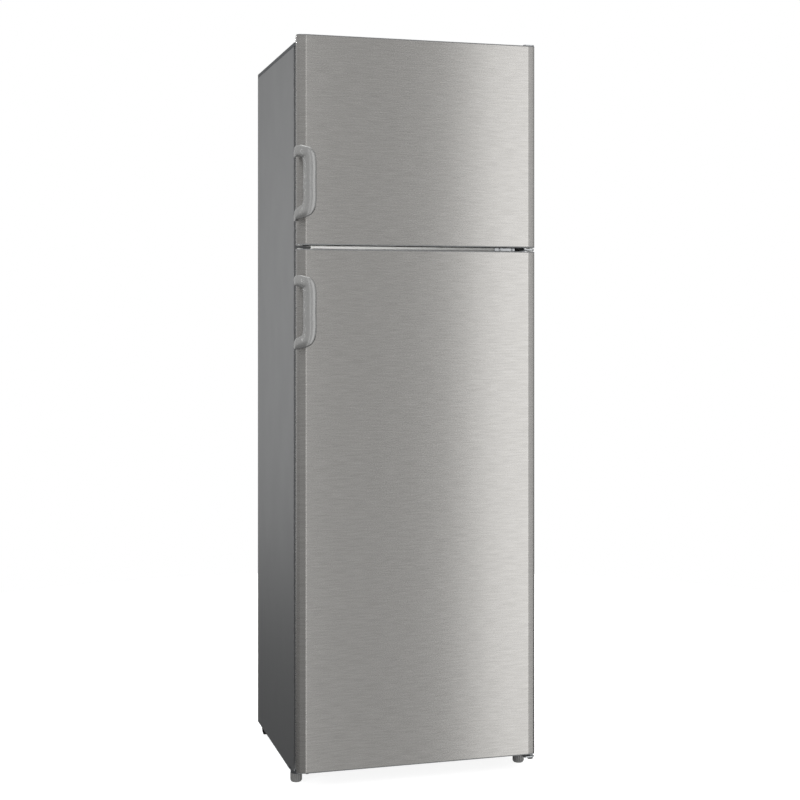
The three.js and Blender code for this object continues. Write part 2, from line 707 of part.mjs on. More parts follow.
// Plastic cap over the top hinge, open underneath and towards the door.
function topHingeCover() {
  const x0 = plateInner - HINGE_COVER_SIDE;
  const x1 = plateOuter + TOUCH + 2;
  const frontY = NOSE_FRONT + TOUCH + 24;
  const rearY = front + HINGE_COVER_BACK;
  const low = hingeSeatZ;
  const overDoor = DOOR_TOP + 1;
  const roof = [[rearY, DOOR_TOP + 10, 4], [front, DOOR_TOP + 10, 8], [frontY, DOOR_TOP + 5.5, 1]];
  const outside = [[frontY, overDoor], [front - 2, overDoor], [front - 2, low], [rearY, low], ...roof];
  const hollow = [
    [frontY - 3, overDoor - 12],
    [rearY - 2, overDoor - 12],
    [rearY - 2, DOOR_TOP + 8],
    [front, DOOR_TOP + 8],
    [frontY - 3, DOOR_TOP + 3.6],
  ];
  return prismX(outside, [x0, x1]).subtract(prismX(hollow, [x0 + 2, x1 - 2]));
}

add(cabinet, "bottom_hinge", "zincSteel", bottomHinge());
add(cabinet, "foot_bracket_left", "zincSteel", footBracket());
add(cabinet, "middle_hinge", "zincSteel", middleHinge());
add(cabinet, "top_hinge", "zincSteel", topHinge());
add(cabinet, "top_hinge_cover", "darkPlastic", topHingeCover());

// ---------------------------------------------------------------- feet and rollers
function foot(x) {
  const collarTop = hingePlateZ - TOUCH;
  const profile = [
    [0, 0],
    [FOOT_RADIUS - 2.5, 0],
    [FOOT_RADIUS, 2.5],
    [FOOT_RADIUS, FOOT_HEIGHT - 2],
    [FOOT_RADIUS - 1.5, FOOT_HEIGHT],
    [COLLAR_RADIUS, FOOT_HEIGHT],
    [COLLAR_RADIUS, FOOT_HEIGHT + 3],
    [STUD_RADIUS + 3, FOOT_HEIGHT + 3],
    [STUD_RADIUS + 3, collarTop],
    [STUD_RADIUS, collarTop],
    [STUD_RADIUS, FOAM_BOTTOM - 3],
    [0, FOAM_BOTTOM - 3],
  ];
  return turned(profile, [x, footY]);
}

function roller() {
  const half = ROLLER_WIDTH / 2;
  const bore = AXLE_RADIUS + PIN_CLEARANCE;
  const ring = [
    [bore, -half],
    [9, -half],
    [9, -half + 2],
    [ROLLER_RADIUS - 5, -half + 2],
    [ROLLER_RADIUS - 4, -half],
    [ROLLER_RADIUS - 1.5, -half],
    [ROLLER_RADIUS, -half + 1.5],
    [ROLLER_RADIUS, half - 1.5],
    [ROLLER_RADIUS - 1.5, half],
    [bore, half],
    [bore, -half],
  ];
  const points = ring.map(([r, h]) => new THREE.Vector2(r, h));
  const wheel = new THREE.LatheGeometry(points, 28).rotateZ(-Math.PI / 2);
  return solid(wheel.translate(-rollerX, rollerY, ROLLER_RADIUS));
}

// Steel bracket beside the base plate, with the roller's axle riveted in it.
function rollerBracket() {
  const x = -(rollerX - ROLLER_WIDTH / 2 - ROLLER_TO_BRACKET);
  const plate = prismX(
    rectangle([rollerY - 20, rollerY + 20], [ROLLER_RADIUS - 9, BASE_PLATE_Z + 24], 6),
    [x, x + 2],
    3,
  );
  const legZ = BASE_PLATE_Z + BASE_WALL + TOUCH;
  const leg = block([x, x + 26], [rollerY - 20, rollerY + 20], [legZ, legZ + 2]);
  const axle = rod("x", AXLE_RADIUS, [-panelInside + 0.5, x + 1], [rollerY, ROLLER_RADIUS]);
  return join(plate, leg, axle);
}

add(cabinet, "front_foot_left", "darkPlastic", foot(-footX));
add(cabinet, "front_foot_right", "darkPlastic", foot(footX));
add(cabinet, "rear_roller_left", "rubber", roller());
add(cabinet, "rear_roller_right", "rubber", mirrorX(roller()));
add(cabinet, "roller_bracket_left", "zincSteel", rollerBracket());
add(cabinet, "roller_bracket_right", "zincSteel", mirrorX(rollerBracket()));

// ---------------------------------------------------------------- machine space
const machineFront = back - MACHINE_DEPTH;
const baseHalf = rollerX - ROLLER_WIDTH / 2 - ROLLER_TO_BRACKET - BASE_WALL - TOUCH;
const compressorY = back - COMPRESSOR_FROM_BACK;
const compressorZ = BASE_PLATE_Z + GROMMET; // underside of its shell

function basePlate() {
  const y0 = machineFront + 6;
  const y1 = back - 4;
  const z = BASE_PLATE_Z;
  const section = [
    [y0, z],
    [y1, z],
    [y1, z + 14],
    [y1 - 2, z + 14],
    [y1 - 2, z + 2],
    [y0 + 2, z + 2],
    [y0 + 2, FOAM_BOTTOM - TOUCH],
    [y0, FOAM_BOTTOM - TOUCH],
  ];
  return prismX(section, [-baseHalf, baseHalf]);
}

// Welded steel pot: lower shell, seam flange and dome, oval in plan, on a four-legged foot plate.
function compressor() {
  const points = POT_PROFILE.map(([r, h]) => new THREE.Vector2(r, h));
  const pot = new THREE.LatheGeometry(points, 26).rotateX(Math.PI / 2).scale(POT_WIDENED, 1, 1);
  const body = solid(pot.translate(COMPRESSOR_X, compressorY, compressorZ));
  const [halfX, halfY] = POT_FEET;
  const plan = rectangle(
    [COMPRESSOR_X - halfX, COMPRESSOR_X + halfX],
    [compressorY - halfY, compressorY + halfY],
    12,
  );
  const feet = prismZ(plan, [compressorZ - 4, compressorZ + 1]);
  return join(body, feet);
}

// Cover over the starting relay on the pot's side, with a gland for the supply cord.
function relayCover() {
  const [width, depth, height] = RELAY;
  const x = COMPRESSOR_X + SEAM_RADIUS * POT_WIDENED + 1;
  const z = compressorZ + RELAY_LIFT;
  const half = depth / 2;
  const box = rectangle([x, x + width], [compressorY - half, compressorY + half], 5);
  const cover = prismZ(box, [z, z + height], 3);
  const inside = rectangle(
    [x - 1, x + width - BASE_WALL],
    [compressorY - half + BASE_WALL, compressorY + half - BASE_WALL],
    3,
  );
  const hollow = prismZ(inside, [z + BASE_WALL, z + height - BASE_WALL], 3);
  const glandAt = [x + 26, z + 16];
  const glandY = [compressorY + half - 4, compressorY + half + 14];
  const gland = rod("y", GLAND_RADIUS, glandY, glandAt, 16);
  const cordHole = rod("y", CORD_HOLE_RADIUS, [glandY[0] - 8, glandY[1] + 4], glandAt, 12);
  return join(cover, gland).subtract(hollow).subtract(cordHole);
}

function dripTray() {
  const [width, depth, height] = DRIP_TRAY;
  const z = compressorZ + POT_HEIGHT + 1;
  const y = compressorY - depth / 2 - 3;
  const x = COMPRESSOR_X - width / 2;
  return tray([x, x + width], [y, y + depth], [z, z + height], BASE_WALL, 10);
}

const condenserY = back + CONDENSER_STANDOFF;
const condenserLow = MACHINE_HEIGHT + 70;
const condenserHigh = wallsTop - 130;
const condenserPitch = (condenserHigh - condenserLow) / (CONDENSER_PASSES - 1);

// Serpentine tube: straight passes joined by half-round bends, then down into the machine space.
function condenserCoil() {
  const bend = condenserPitch / 2;
  const reach = condenserHalf - bend;
  const stations = [];
  for (let pass = 0; pass < CONDENSER_PASSES; pass++) {
    const z = condenserLow + pass * condenserPitch;
    const side = pass % 2 ? -1 : 1; // this pass runs towards +X when side is 1
    stations.push(new THREE.Vector3(-side * reach, condenserY, z));
    if (pass === CONDENSER_PASSES - 1) {
      stations.push(new THREE.Vector3(side * reach, condenserY, z));
      break;
    }
    for (let k = 0; k < 6; k++) {
      const a = -Math.PI / 2 + (Math.PI * k) / 6;
      stations.push(
        new THREE.Vector3(side * (reach + bend * Math.cos(a)), condenserY, z + bend + bend * Math.sin(a)),
      );
    }
  }
  const leadX = -condenserHalf - 8;
  const [leadForward, leadDown] = CONDENSER_LEAD;
  const lead = rounded(
    [
      new THREE.Vector3(leadX, condenserY - leadForward, condenserLow - leadDown),
      new THREE.Vector3(leadX, condenserY, condenserLow - leadDown),
      new THREE.Vector3(leadX, condenserY, condenserLow),
      stations[0],
    ],
    14,
    3,
  );
  return tube([...lead.slice(0, -1), ...stations], TUBE_RADIUS, 6);
}

// Steel strap that holds the coil off the back panel, with a foot at each end.
function condenserRail() {
  const [width, thick] = STRAP;
  const x = [-condenserHalf + 62, -condenserHalf + 62 + width];
  const inner = back + TOUCH;
  const outer = condenserY + TUBE_RADIUS + TOUCH;
  const low = condenserLow - STRAP_PAST_COIL;
  const high = condenserHigh + STRAP_PAST_COIL;
  let rail = block(x, [outer, outer + thick], [low, high]);
  for (const z of [low, high - width]) {
    rail = join(rail, block(x, [inner, outer + thick], [z, z + thick]));
    rail = join(rail, block(x, [inner, inner + thick], [z, z + width]));
  }
  return rail;
}

function filterDrier() {
  return turned(FILTER_PROFILE, [cabinetHalf - FILTER_MARGIN, back - FILTER_FROM_BACK], 16);
}

function suctionTube() {
  const shell = COMPRESSOR_X - SHELL_RADIUS * POT_WIDENED;
  const x = COMPRESSOR_X - SEAM_RADIUS * POT_WIDENED - SUCTION_FROM_POT;
  const route = rounded(
    [
      new THREE.Vector3(shell - 3, compressorY, compressorZ + 40),
      new THREE.Vector3(x, compressorY, compressorZ + 40),
      new THREE.Vector3(x, compressorY + 48, compressorZ + 70),
      new THREE.Vector3(x, compressorY + 48, MACHINE_HEIGHT - 1),
    ],
    12,
    3,
  );
  return tube(route, SUCTION_RADIUS, 8);
}

add(cabinet, "base_plate", "galvanised", basePlate());
add(cabinet, "compressor", "blackSteel", compressor());
add(cabinet, "relay_cover", "darkPlastic", relayCover());
add(cabinet, "drip_tray", "darkPlastic", dripTray());
add(cabinet, "condenser_coil", "blackSteel", condenserCoil());
add(cabinet, "condenser_rail_left", "blackSteel", condenserRail());
add(cabinet, "condenser_rail_right", "blackSteel", mirrorX(condenserRail()));
add(cabinet, "filter_drier", "copper", filterDrier());
add(cabinet, "suction_tube", "copper", suctionTube());

// ---------------------------------------------------------------- fittings in the compartments
const fridgeInner = fridgeHalf - TOUCH - LINER;
const freezerInner = freezerHalf - TOUCH - LINER;

function shelf(half, z, backY) {
  return prismZ(rectangle([-half, half], [shelfFrontY, backY], 4), [z, z + GLASS], 2);
}

function crisperDrawer() {
  const half = fridgeInner - CRISPER_DRAFT;
  const z = FRIDGE_FLOOR + TOUCH + LINER + TOUCH;
  const rear = back - MACHINE_DEPTH - MACHINE_WALL - TOUCH - LINER - 12;
  const box = tray([-half, half], [shelfFrontY + 4, rear], [z, z + CRISPER_HEIGHT], CRISPER_WALL, 10);
  const lip = prismX(
    [
      [shelfFrontY - 6, z + CRISPER_HEIGHT - 26],
      [shelfFrontY - 3.5, z + CRISPER_HEIGHT - 26],
      [shelfFrontY - 3.5, z + CRISPER_HEIGHT - 3],
      [shelfFrontY + 5, z + CRISPER_HEIGHT - 3],
      [shelfFrontY + 5, z + CRISPER_HEIGHT],
      [shelfFrontY - 6, z + CRISPER_HEIGHT, 3],
    ],
    [-half + 14, half - 14],
    2,
  );
  return join(box, lip);
}

// Aluminium plate evaporator on the rear wall, with its pressed channel.
function coldPlate() {
  const rear = cavityBack - TOUCH - LINER - 2;
  const [width, height] = COLD_PLATE;
  const half = width / 2;
  const high = fridgeRoof - COLD_PLATE_DROP;
  const low = high - height;
  const depth = [rear - CHANNEL_HALF, rear - 1];
  let plate = prismY(rectangle([-half, half], [low, high], 10), [rear - 1.5, rear], 3);
  for (let k = 0; k < CHANNEL_PASSES; k++) {
    const z = (low + high) / 2 + (k - (CHANNEL_PASSES - 1) / 2) * CHANNEL_PITCH;
    plate = join(plate, block([30 - half, half - 30], depth, [z - CHANNEL_HALF, z + CHANNEL_HALF]));
    if (k + 1 < CHANNEL_PASSES) {
      const x = k % 2 ? 30 - half : half - 30;
      const turn = [z - CHANNEL_HALF, z + CHANNEL_PITCH + CHANNEL_HALF];
      plate = join(plate, block([x - CHANNEL_HALF, x + CHANNEL_HALF], depth, turn));
    }
  }
  return plate;
}

const housingX = [fridgeInner - HOUSING_SIDE - HOUSING[0], fridgeInner - HOUSING_SIDE];
const housingFront = doorRear + FRIDGE_RIDGE + HOUSING_BEHIND_DOOR;
const housingY = [housingFront, housingFront + HOUSING[1]];
const housingZ = [fridgeRoof - HOUSING[2], fridgeRoof - TOUCH * 2 - LINER];
const windowX = [housingX[0] + WINDOW_MARGIN[0], housingX[1] - WINDOW_MARGIN[0]];
const windowY = [housingY[0] + WINDOW_MARGIN[1], housingY[1] - WINDOW_MARGIN[2]];
const controlZ = (housingZ[0] + fridgeRoof) / 2 + 1;
const switchX = housingX[1] - 22;
const knobX = housingX[0] + 34;

function lampHousing() {
  const shell = prismX(
    [
      [housingY[0], housingZ[0], 5],
      [housingY[1], housingZ[0], 14],
      [housingY[1], housingZ[1]],
      [housingY[0], housingZ[1]],
    ],
    housingX,
    3,
  );
  const inside = block(
    [housingX[0] + HOUSING_WALL, housingX[1] - HOUSING_WALL],
    [housingY[0] + HOUSING_WALL, housingY[1] - HOUSING_WALL],
    [housingZ[0] + HOUSING_WALL, housingZ[1] + 1],
  );
  const window = block(windowX, windowY, [housingZ[0] - 1, housingZ[0] + HOUSING_WALL + 1]);
  const wall = [housingY[0] - 1, housingY[0] + HOUSING_WALL + 1];
  const switchHole = rod("y", SWITCH_RADIUS + 0.4, wall, [switchX, controlZ], 16);
  const spindleHole = rod("y", SPINDLE_RADIUS + 0.4, wall, [knobX, controlZ], 12);
  return shell.subtract(inside).subtract(window).subtract(switchHole).subtract(spindleHole);
}

function lampCover() {
  return block(
    [windowX[0] + TOUCH, windowX[1] - TOUCH],
    [windowY[0] + TOUCH, windowY[1] - TOUCH],
    [housingZ[0] - 1, housingZ[0] + HOUSING_WALL],
  );
}

function thermostatKnob() {
  const face = housingY[0] - TOUCH;
  const disc = rod("y", KNOB_RADIUS, [face - 3, face], [knobX, controlZ], 28);
  const gripZ = [controlZ - KNOB_RADIUS + 2, controlZ + KNOB_RADIUS - 2];
  const grip = block([knobX - 3, knobX + 3], [face - 12, face - 2], gripZ);
  const spindle = rod("y", SPINDLE_RADIUS, [face - 1, face + 14], [knobX, controlZ], 12);
  return join(disc, grip, spindle);
}

function lightSwitch() {
  const tip = doorRear + FRIDGE_RIDGE + TOUCH;
  const plunger = rod("y", SWITCH_RADIUS, [tip, housingY[0] + 18], [switchX, controlZ], 16);
  const stop = [housingY[0] + 10, housingY[0] + 13];
  return join(plunger, rod("y", SWITCH_RADIUS + 2.5, stop, [switchX, controlZ], 16));
}

function iceTray() {
  const [x0, y0, z0] = [-freezerInner + 30, shelfFrontY + 30, freezerFloor + TOUCH * 2 + LINER];
  const [width, depth, height] = ICE_TRAY;
  return tray([x0, x0 + width], [y0, y0 + depth], [z0, z0 + height], 3, 8);
}

const shelfBack = cavityBack - 12;
["lower", "middle", "upper"].forEach((level, i) => {
  const z = shelfHeights[i];
  add(cabinet, "fridge_shelf_" + level, "glass", shelf(fridgeInner - 1, z, shelfBack));
});
add(cabinet, "crisper_cover", "glass", shelf(fridgeInner - 1, crisperCoverZ, shelfBack));
add(cabinet, "freezer_shelf", "glass", shelf(freezerInner - 1, freezerShelfZ, shelfBack));
add(cabinet, "cold_plate", "aluminium", coldPlate());
add(cabinet, "lamp_housing", "whitePlastic", lampHousing());
add(cabinet, "lamp_cover", "clearPlastic", lampCover());
add(cabinet, "ice_tray", "clearPlastic", iceTray());
add(cabinet, "crisper_drawer", "clearPlastic", crisperDrawer());
add(cabinet, "thermostat_knob", "whitePlastic", thermostatKnob());
add(cabinet, "light_switch", "whitePlastic", lightSwitch());

// ---------------------------------------------------------------- doors
// Door's outline in plan, counter-clockwise: flat front, a crease, a shallow bevel, a round corner
// and sides that draw in towards the rear.
function doorPlan() {
  const crease = doorHalf - CREASE_INSET;
  const rear = doorHalf - DOOR_TAPER;
  return [
    [-crease, 0],
    [crease, 0],
    [doorHalf, BEVEL_DROP, CORNER_RADIUS],
    [rear, DOOR_THICK],
    [-rear, DOOR_THICK],
    [-doorHalf, BEVEL_DROP, CORNER_RADIUS],
  ];
}

function doorSkin([low, high]) {
  const shell = prismZ(doorPlan(), [low, high], 6).subtract(
    prismZ(inset(doorPlan(), SKIN), [low - 1, high + 1], 6),
  );
  const mouth = doorHalf - DOOR_TAPER - SKIN_RETURN;
  return shell.subtract(block([-mouth, mouth], [DOOR_THICK - 5, DOOR_THICK + 1], [low - 1, high + 1]));
}

// End cap: a plate with the door's outline, a skirt inside the skin and a bush for the hinge pin.
// end is 1 for a top cap and -1 for a bottom cap.
function endCap(edge, end, bored) {
  const span = (from, to) => [edge - end * from, edge - end * to].sort((a, b) => a - b);
  const seat = SKIN + TOUCH;
  const plate = prismZ(doorPlan(), span(0, CAP), 6);
  const skirt = prismZ(inset(doorPlan(), seat), span(CAP - 1, CAP + CAP_PLUG), 6).subtract(
    prismZ(inset(doorPlan(), seat + CAP_WALL), span(CAP, CAP + CAP_PLUG + 1), 6),
  );
  const bushLength = PIN_IN_DOOR + 4;
  let cap = join(plate, skirt);
  for (const x of [-pinX, pinX]) {
    cap = join(cap, rod("z", BUSH_RADIUS, span(1, bushLength), [x, pinY]));
  }
  if (bored) {
    const bore = rod("z", PIN_RADIUS + PIN_CLEARANCE, span(-1, PIN_IN_DOOR + 1.5), [pinX, pinY]);
    cap = cap.subtract(bore);
  }
  return cap;
}

// The raised frame on a door's inside, as a solid that is `less` smaller all round.
function ridge(half, [low, high], depth, less) {
  const outer = rectangle([-half + less, half - less], [low + less, high - less], 12);
  const width = RIDGE_WIDTH - less;
  const inner = rectangle([-half + width, half - width], [low + width, high - width], 10);
  const from = less ? doorRear - 4 : doorRear + TOUCH;
  const y = [from, doorRear + depth - less];
  return prismY(outer, y, 3).subtract(prismY(inner, [y[0] - 1, y[1] + 1], 3));
}

function doorLiner([low, high], half, ridgeSpan, depth) {
  const plan = rectangle(
    [-doorHalf + DOOR_TAPER + LINER_MARGIN, doorHalf - DOOR_TAPER - LINER_MARGIN],
    [low + LINER_MARGIN, high - LINER_MARGIN],
    6,
  );
  const sheet = prismY(plan, [doorRear + TOUCH, doorRear + TOUCH + LINER], 3);
  return join(sheet, ridge(half, ridgeSpan, depth, 0)).subtract(ridge(half, ridgeSpan, depth, LINER));
}

function doorFoam([low, high], half, ridgeSpan, depth) {
  const end = CAP + CAP_PLUG + TOUCH;
  const slab = prismZ(inset(doorPlan(), SKIN + TOUCH), [low + end, high - end], 6);
  const core = ridge(half, ridgeSpan, depth, LINER + TOUCH);
  let foam = join(slab.intersect(block([-doorHalf, doorHalf], [0, doorRear - TOUCH], [low, high])), core);
  for (const x of [-pinX, pinX]) {
    for (const z of [low, high]) {
      const room = rod("z", BUSH_RADIUS + TOUCH, [z - PIN_IN_DOOR - 5, z + PIN_IN_DOOR + 5], [x, pinY]);
      foam = foam.subtract(room);
    }
  }
  return foam;
}

function doorSeal([low, high], topMargin) {
  const outer = rectangle([-sealHalf, sealHalf], [low + SEAL_MARGIN, high - topMargin], 4);
  const y = [doorRear + TOUCH * 2 + LINER, front - TOUCH];
  return prismY(outer, y, 2).subtract(prismY(inset(outer, SEAL_WIDTH), [y[0] - 1, y[1] + 1], 2));
}

// Bow handle. Its surface is a sheet that lies on the door's left side, turns about an upright
// axis and ends facing forwards; u runs along that sheet from the foot's rear end to the bar.
function handleSurface(u, lift) {
  const lean = Math.atan2(DOOR_TAPER, DOOR_THICK - BEVEL_DROP);
  const straight = HANDLE_FOOT_BACK + HANDLE_REACH - HANDLE_BEND;
  const sideX = -doorHalf + (DOOR_TAPER * (HANDLE_FOOT_BACK - BEVEL_DROP)) / (DOOR_THICK - BEVEL_DROP);
  const start = new THREE.Vector2(sideX - TOUCH, HANDLE_FOOT_BACK);
  const forward = new THREE.Vector2(-Math.sin(lean), -Math.cos(lean));
  const outward = new THREE.Vector2(-Math.cos(lean), Math.sin(lean));
  const along = Math.min(u, straight);
  const point = start.clone().addScaledVector(forward, along);
  if (u <= straight) return point.addScaledVector(outward, lift);
  const quarter = Math.PI / 2 + lean;
  const angle = Math.min((u - straight) / HANDLE_BEND, quarter);
  const centre = point.clone().addScaledVector(outward, -HANDLE_BEND);
  const normal = outward.clone().rotateAround(new THREE.Vector2(), angle);
  point.copy(centre).addScaledVector(normal, HANDLE_BEND + lift);
  const rest = Math.max(0, u - straight - quarter * HANDLE_BEND);
  return point.add(new THREE.Vector2(rest, 0));
}

function handle(middle) {
  const barU = HANDLE_FOOT_BACK + HANDLE_REACH - HANDLE_BEND + HANDLE_BEND * 1.5 + HANDLE_BAR_SHIFT;
  const [top, low] = [HANDLE_HALF, -HANDLE_HALF];
  const route = new THREE.CatmullRomCurve3(
    [
      [0, top],
      [barU * 0.5, top - 1.5],
      [barU * 0.8, top - 4],
      [barU * 0.95, top - 13],
      [barU, top - 31],
      [barU, 0],
      [barU, low + 38],
      [barU * 0.94, low + 18],
      [barU * 0.78, low + 7],
      [barU * 0.48, low + 1],
      [0, low],
    ].map(([u, z]) => new THREE.Vector3(u, z, 0)),
    false,
    "centripetal",
  );
  const stations = 40;
  const sides = 12;
  const rings = [];
  for (let i = 0; i <= stations; i++) {
    const p = route.getPointAt(i / stations);
    const t = route.getTangentAt(i / stations);
    const bar = THREE.MathUtils.smoothstep(p.x, barU * 0.35, barU * 0.95);
    const halfWidth = THREE.MathUtils.lerp(HANDLE_ARM_WIDTH, HANDLE_BAR_WIDTH, bar) / 2;
    const thick = THREE.MathUtils.lerp(4, 11, bar);
    const ring = [];
    for (let k = 0; k < sides; k++) {
      const a = (2 * Math.PI * (k + 0.5)) / sides;
      const across = Math.sign(Math.cos(a)) * Math.abs(Math.cos(a)) ** 0.7 * halfWidth;
      const lift = thick / 2 + (Math.sign(Math.sin(a)) * Math.abs(Math.sin(a)) ** 0.7 * thick) / 2;
      const plan = handleSurface(Math.max(0, p.x - t.y * across), lift);
      ring.push(new THREE.Vector3(plan.x, plan.y, middle + p.y + t.x * across));
    }
    rings.push(ring);
  }
  return loft(rings);
}

function doorBin([low, high], depth, half) {
  const y0 = doorRear + TOUCH * 2 + LINER;
  return tray([-half, half], [y0, y0 + depth], [low, high], BIN_WALL, 10);
}

function addDoor(group, name, [low, high], half, ridgeSpan, depth, handleZ, sealTopMargin) {
  const skinSpan = [low + CAP + TOUCH, high - CAP - TOUCH];
  add(group, name + "_skin", "brushedSteel", doorSkin(skinSpan));
  add(group, name + "_top_cap", "greyPlastic", endCap(high, 1, true));
  add(group, name + "_bottom_cap", "greyPlastic", endCap(low, -1, true));
  add(group, name + "_foam", "foam", doorFoam([low, high], half, ridgeSpan, depth));
  add(group, name + "_liner", "whitePlastic", doorLiner([low, high], half, ridgeSpan, depth));
  add(group, name + "_seal", "sealGrey", doorSeal([low, high], sealTopMargin));
  add(group, name + "_handle", "greyPlastic", handle(handleZ));
}

const freezerRidgeHalf = freezerHalf - RIDGE_CLEARANCE;
const fridgeRidgeHalf = fridgeHalf - RIDGE_CLEARANCE;
const freezerRidgeSpan = [freezerFloor + 8, freezerRoof - 8];
const fridgeRidgeSpan = [FRIDGE_FLOOR + 8, fridgeRoof - 8];
addDoor(
  freezerDoor,
  "freezer_door",
  [freezerDoorBottom, DOOR_TOP],
  freezerRidgeHalf,
  freezerRidgeSpan,
  FREEZER_RIDGE,
  freezerDoorBottom + FREEZER_HANDLE_Z,
  SEAL_MARGIN_TOP,
);
addDoor(
  fridgeDoor,
  "fridge_door",
  [DOOR_BOTTOM, fridgeDoorTop],
  fridgeRidgeHalf,
  fridgeRidgeSpan,
  FRIDGE_RIDGE,
  fridgeDoorTop - FRIDGE_HANDLE_Z,
  SEAL_MARGIN,
);

// Bins hang between the ridges, spread over the height between them.
const freezerBinHalf = freezerRidgeHalf - RIDGE_WIDTH - 2;
const fridgeBinHalf = fridgeRidgeHalf - RIDGE_WIDTH - 2;
const freezerInside = freezerRidgeSpan[1] - freezerRidgeSpan[0] - 2 * RIDGE_WIDTH;
const fridgeInside = fridgeRidgeSpan[1] - fridgeRidgeSpan[0] - 2 * RIDGE_WIDTH;
function binSpan([low], inside, share, height) {
  const z = low + RIDGE_WIDTH + 6 + inside * share;
  return [z, z + height];
}
const bins = [
  [freezerDoor, "freezer_door_bin_lower", freezerRidgeSpan, freezerInside, 0, 72, 84, freezerBinHalf],
  [freezerDoor, "freezer_door_bin_upper", freezerRidgeSpan, freezerInside, 0.5, 72, 84, freezerBinHalf],
  [fridgeDoor, "bottle_rack", fridgeRidgeSpan, fridgeInside, 0, 108, 104, fridgeBinHalf],
  [fridgeDoor, "fridge_door_bin_middle", fridgeRidgeSpan, fridgeInside, 0.4, 80, 96, fridgeBinHalf],
  [fridgeDoor, "fridge_door_bin_upper", fridgeRidgeSpan, fridgeInside, 0.72, 80, 96, fridgeBinHalf],
];
for (const [group, name, span, inside, share, height, depth, half] of bins) {
  add(group, name, "clearPlastic", doorBin(binSpan(span, inside, share, height), depth, half));
}

// ---------------------------------------------------------------- origin: middle of the footprint
const reach = new THREE.Box3().setFromObject(root);
const middle = reach.getCenter(new THREE.Vector3());
for (const group of [cabinet, freezerDoor, fridgeDoor]) {
  group.position.set(-middle.x, -middle.y, -reach.min.z);
}

export default root;
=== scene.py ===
# %% [markdown]
# # A top-freezer refrigerator, piece by piece
# A refrigerator is an assembly: folded steel sides round a block of foam, two doors that are
# sandwiches of a steel skin, foam and a plastic liner, and a sealed cooling circuit on the back.
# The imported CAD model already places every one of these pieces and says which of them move, so
# this script never invents a position: it loads that frame first and dresses it.

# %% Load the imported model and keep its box
import json
import math

import bmesh
import bpy
from mathutils import Matrix, Vector


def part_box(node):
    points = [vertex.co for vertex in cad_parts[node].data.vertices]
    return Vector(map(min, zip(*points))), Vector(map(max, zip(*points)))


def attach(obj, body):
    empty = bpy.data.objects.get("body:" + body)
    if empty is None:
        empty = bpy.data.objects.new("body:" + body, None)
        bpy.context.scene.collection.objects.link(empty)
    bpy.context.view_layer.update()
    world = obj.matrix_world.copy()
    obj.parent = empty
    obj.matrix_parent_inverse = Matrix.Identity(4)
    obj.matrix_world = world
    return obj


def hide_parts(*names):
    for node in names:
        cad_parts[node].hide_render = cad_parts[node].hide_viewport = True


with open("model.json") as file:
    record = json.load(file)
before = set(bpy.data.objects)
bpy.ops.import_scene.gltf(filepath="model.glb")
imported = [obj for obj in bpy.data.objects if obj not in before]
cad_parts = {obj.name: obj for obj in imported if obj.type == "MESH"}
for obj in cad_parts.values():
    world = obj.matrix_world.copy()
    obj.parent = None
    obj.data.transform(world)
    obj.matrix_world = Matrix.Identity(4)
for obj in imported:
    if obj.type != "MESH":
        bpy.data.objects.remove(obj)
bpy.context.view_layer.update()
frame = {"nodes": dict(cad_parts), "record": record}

MM = 0.001

# %% [markdown]
# ## Where the viewer stands
# The object is seen from a little left of its middle, from the height of an adult's chest. A
# camera that looks level keeps every upright edge upright; the lens is then shifted down, as an
# architect's camera does it, so that the whole cabinet fits the frame without tilting.

# %% Camera
skin_low, skin_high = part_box("freezer_door_skin")
door_middle = (skin_low.x + skin_high.x) / 2
door_front = skin_low.y
door_rear = skin_high.y
scene = bpy.context.scene

SENSOR_MM = 36.0
LENS_MM = 65.88
LENS_SHIFT = -0.1056
VIEWER_LEFT, VIEWER_AHEAD, VIEWER_HEIGHT = 0.9775, 3.3145, 1.0997
VIEWER_TURN = -15.677
camera_data = bpy.data.cameras.new("camera")
camera_data.sensor_width = SENSOR_MM
camera_data.lens = LENS_MM
camera_data.shift_y = LENS_SHIFT
camera = bpy.data.objects.new("camera", camera_data)
camera.location = (door_middle - VIEWER_LEFT, door_front - VIEWER_AHEAD, VIEWER_HEIGHT)
camera.rotation_euler = (math.radians(90), 0, math.radians(VIEWER_TURN))
scene.collection.objects.link(camera)
scene.camera = camera
print("camera", [round(v, 3) for v in camera.location])

# %% [markdown]
# ## A plain studio
# Brushed steel shows its surroundings more than its own colour, so the lights are the first part
# of its finish. A tall soft box at the right front gives the doors the slow brightening towards
# their hinge side; a second one at the upper left lights the painted side and fades towards the
# floor. The world is white to look at and only a quiet grey as a light, which keeps the steel
# from washing out. Area lights are hidden from the camera, so they never stand in a view.

# %% One function for colours and one for nodes
def hex_colour(code):
    """An sRGB hex colour as the linear numbers that shaders work in."""
    channels = [int(code[i : i + 2], 16) / 255 for i in (1, 3, 5)]
    linear = [c / 12.92 if c <= 0.04045 else ((c + 0.055) / 1.055) ** 2.4 for c in channels]
    return (*linear, 1.0)


def add_node(tree, kind, inputs=None, **settings):
    """A node with its settings; each input is a value or the output socket that feeds it."""
    made = tree.nodes.new(kind)
    for name, value in settings.items():
        setattr(made, name, value)
    for socket, value in (inputs or {}).items():
        if isinstance(value, bpy.types.NodeSocket):
            tree.links.new(value, made.inputs[socket])
        else:
            made.inputs[socket].default_value = value
    return made


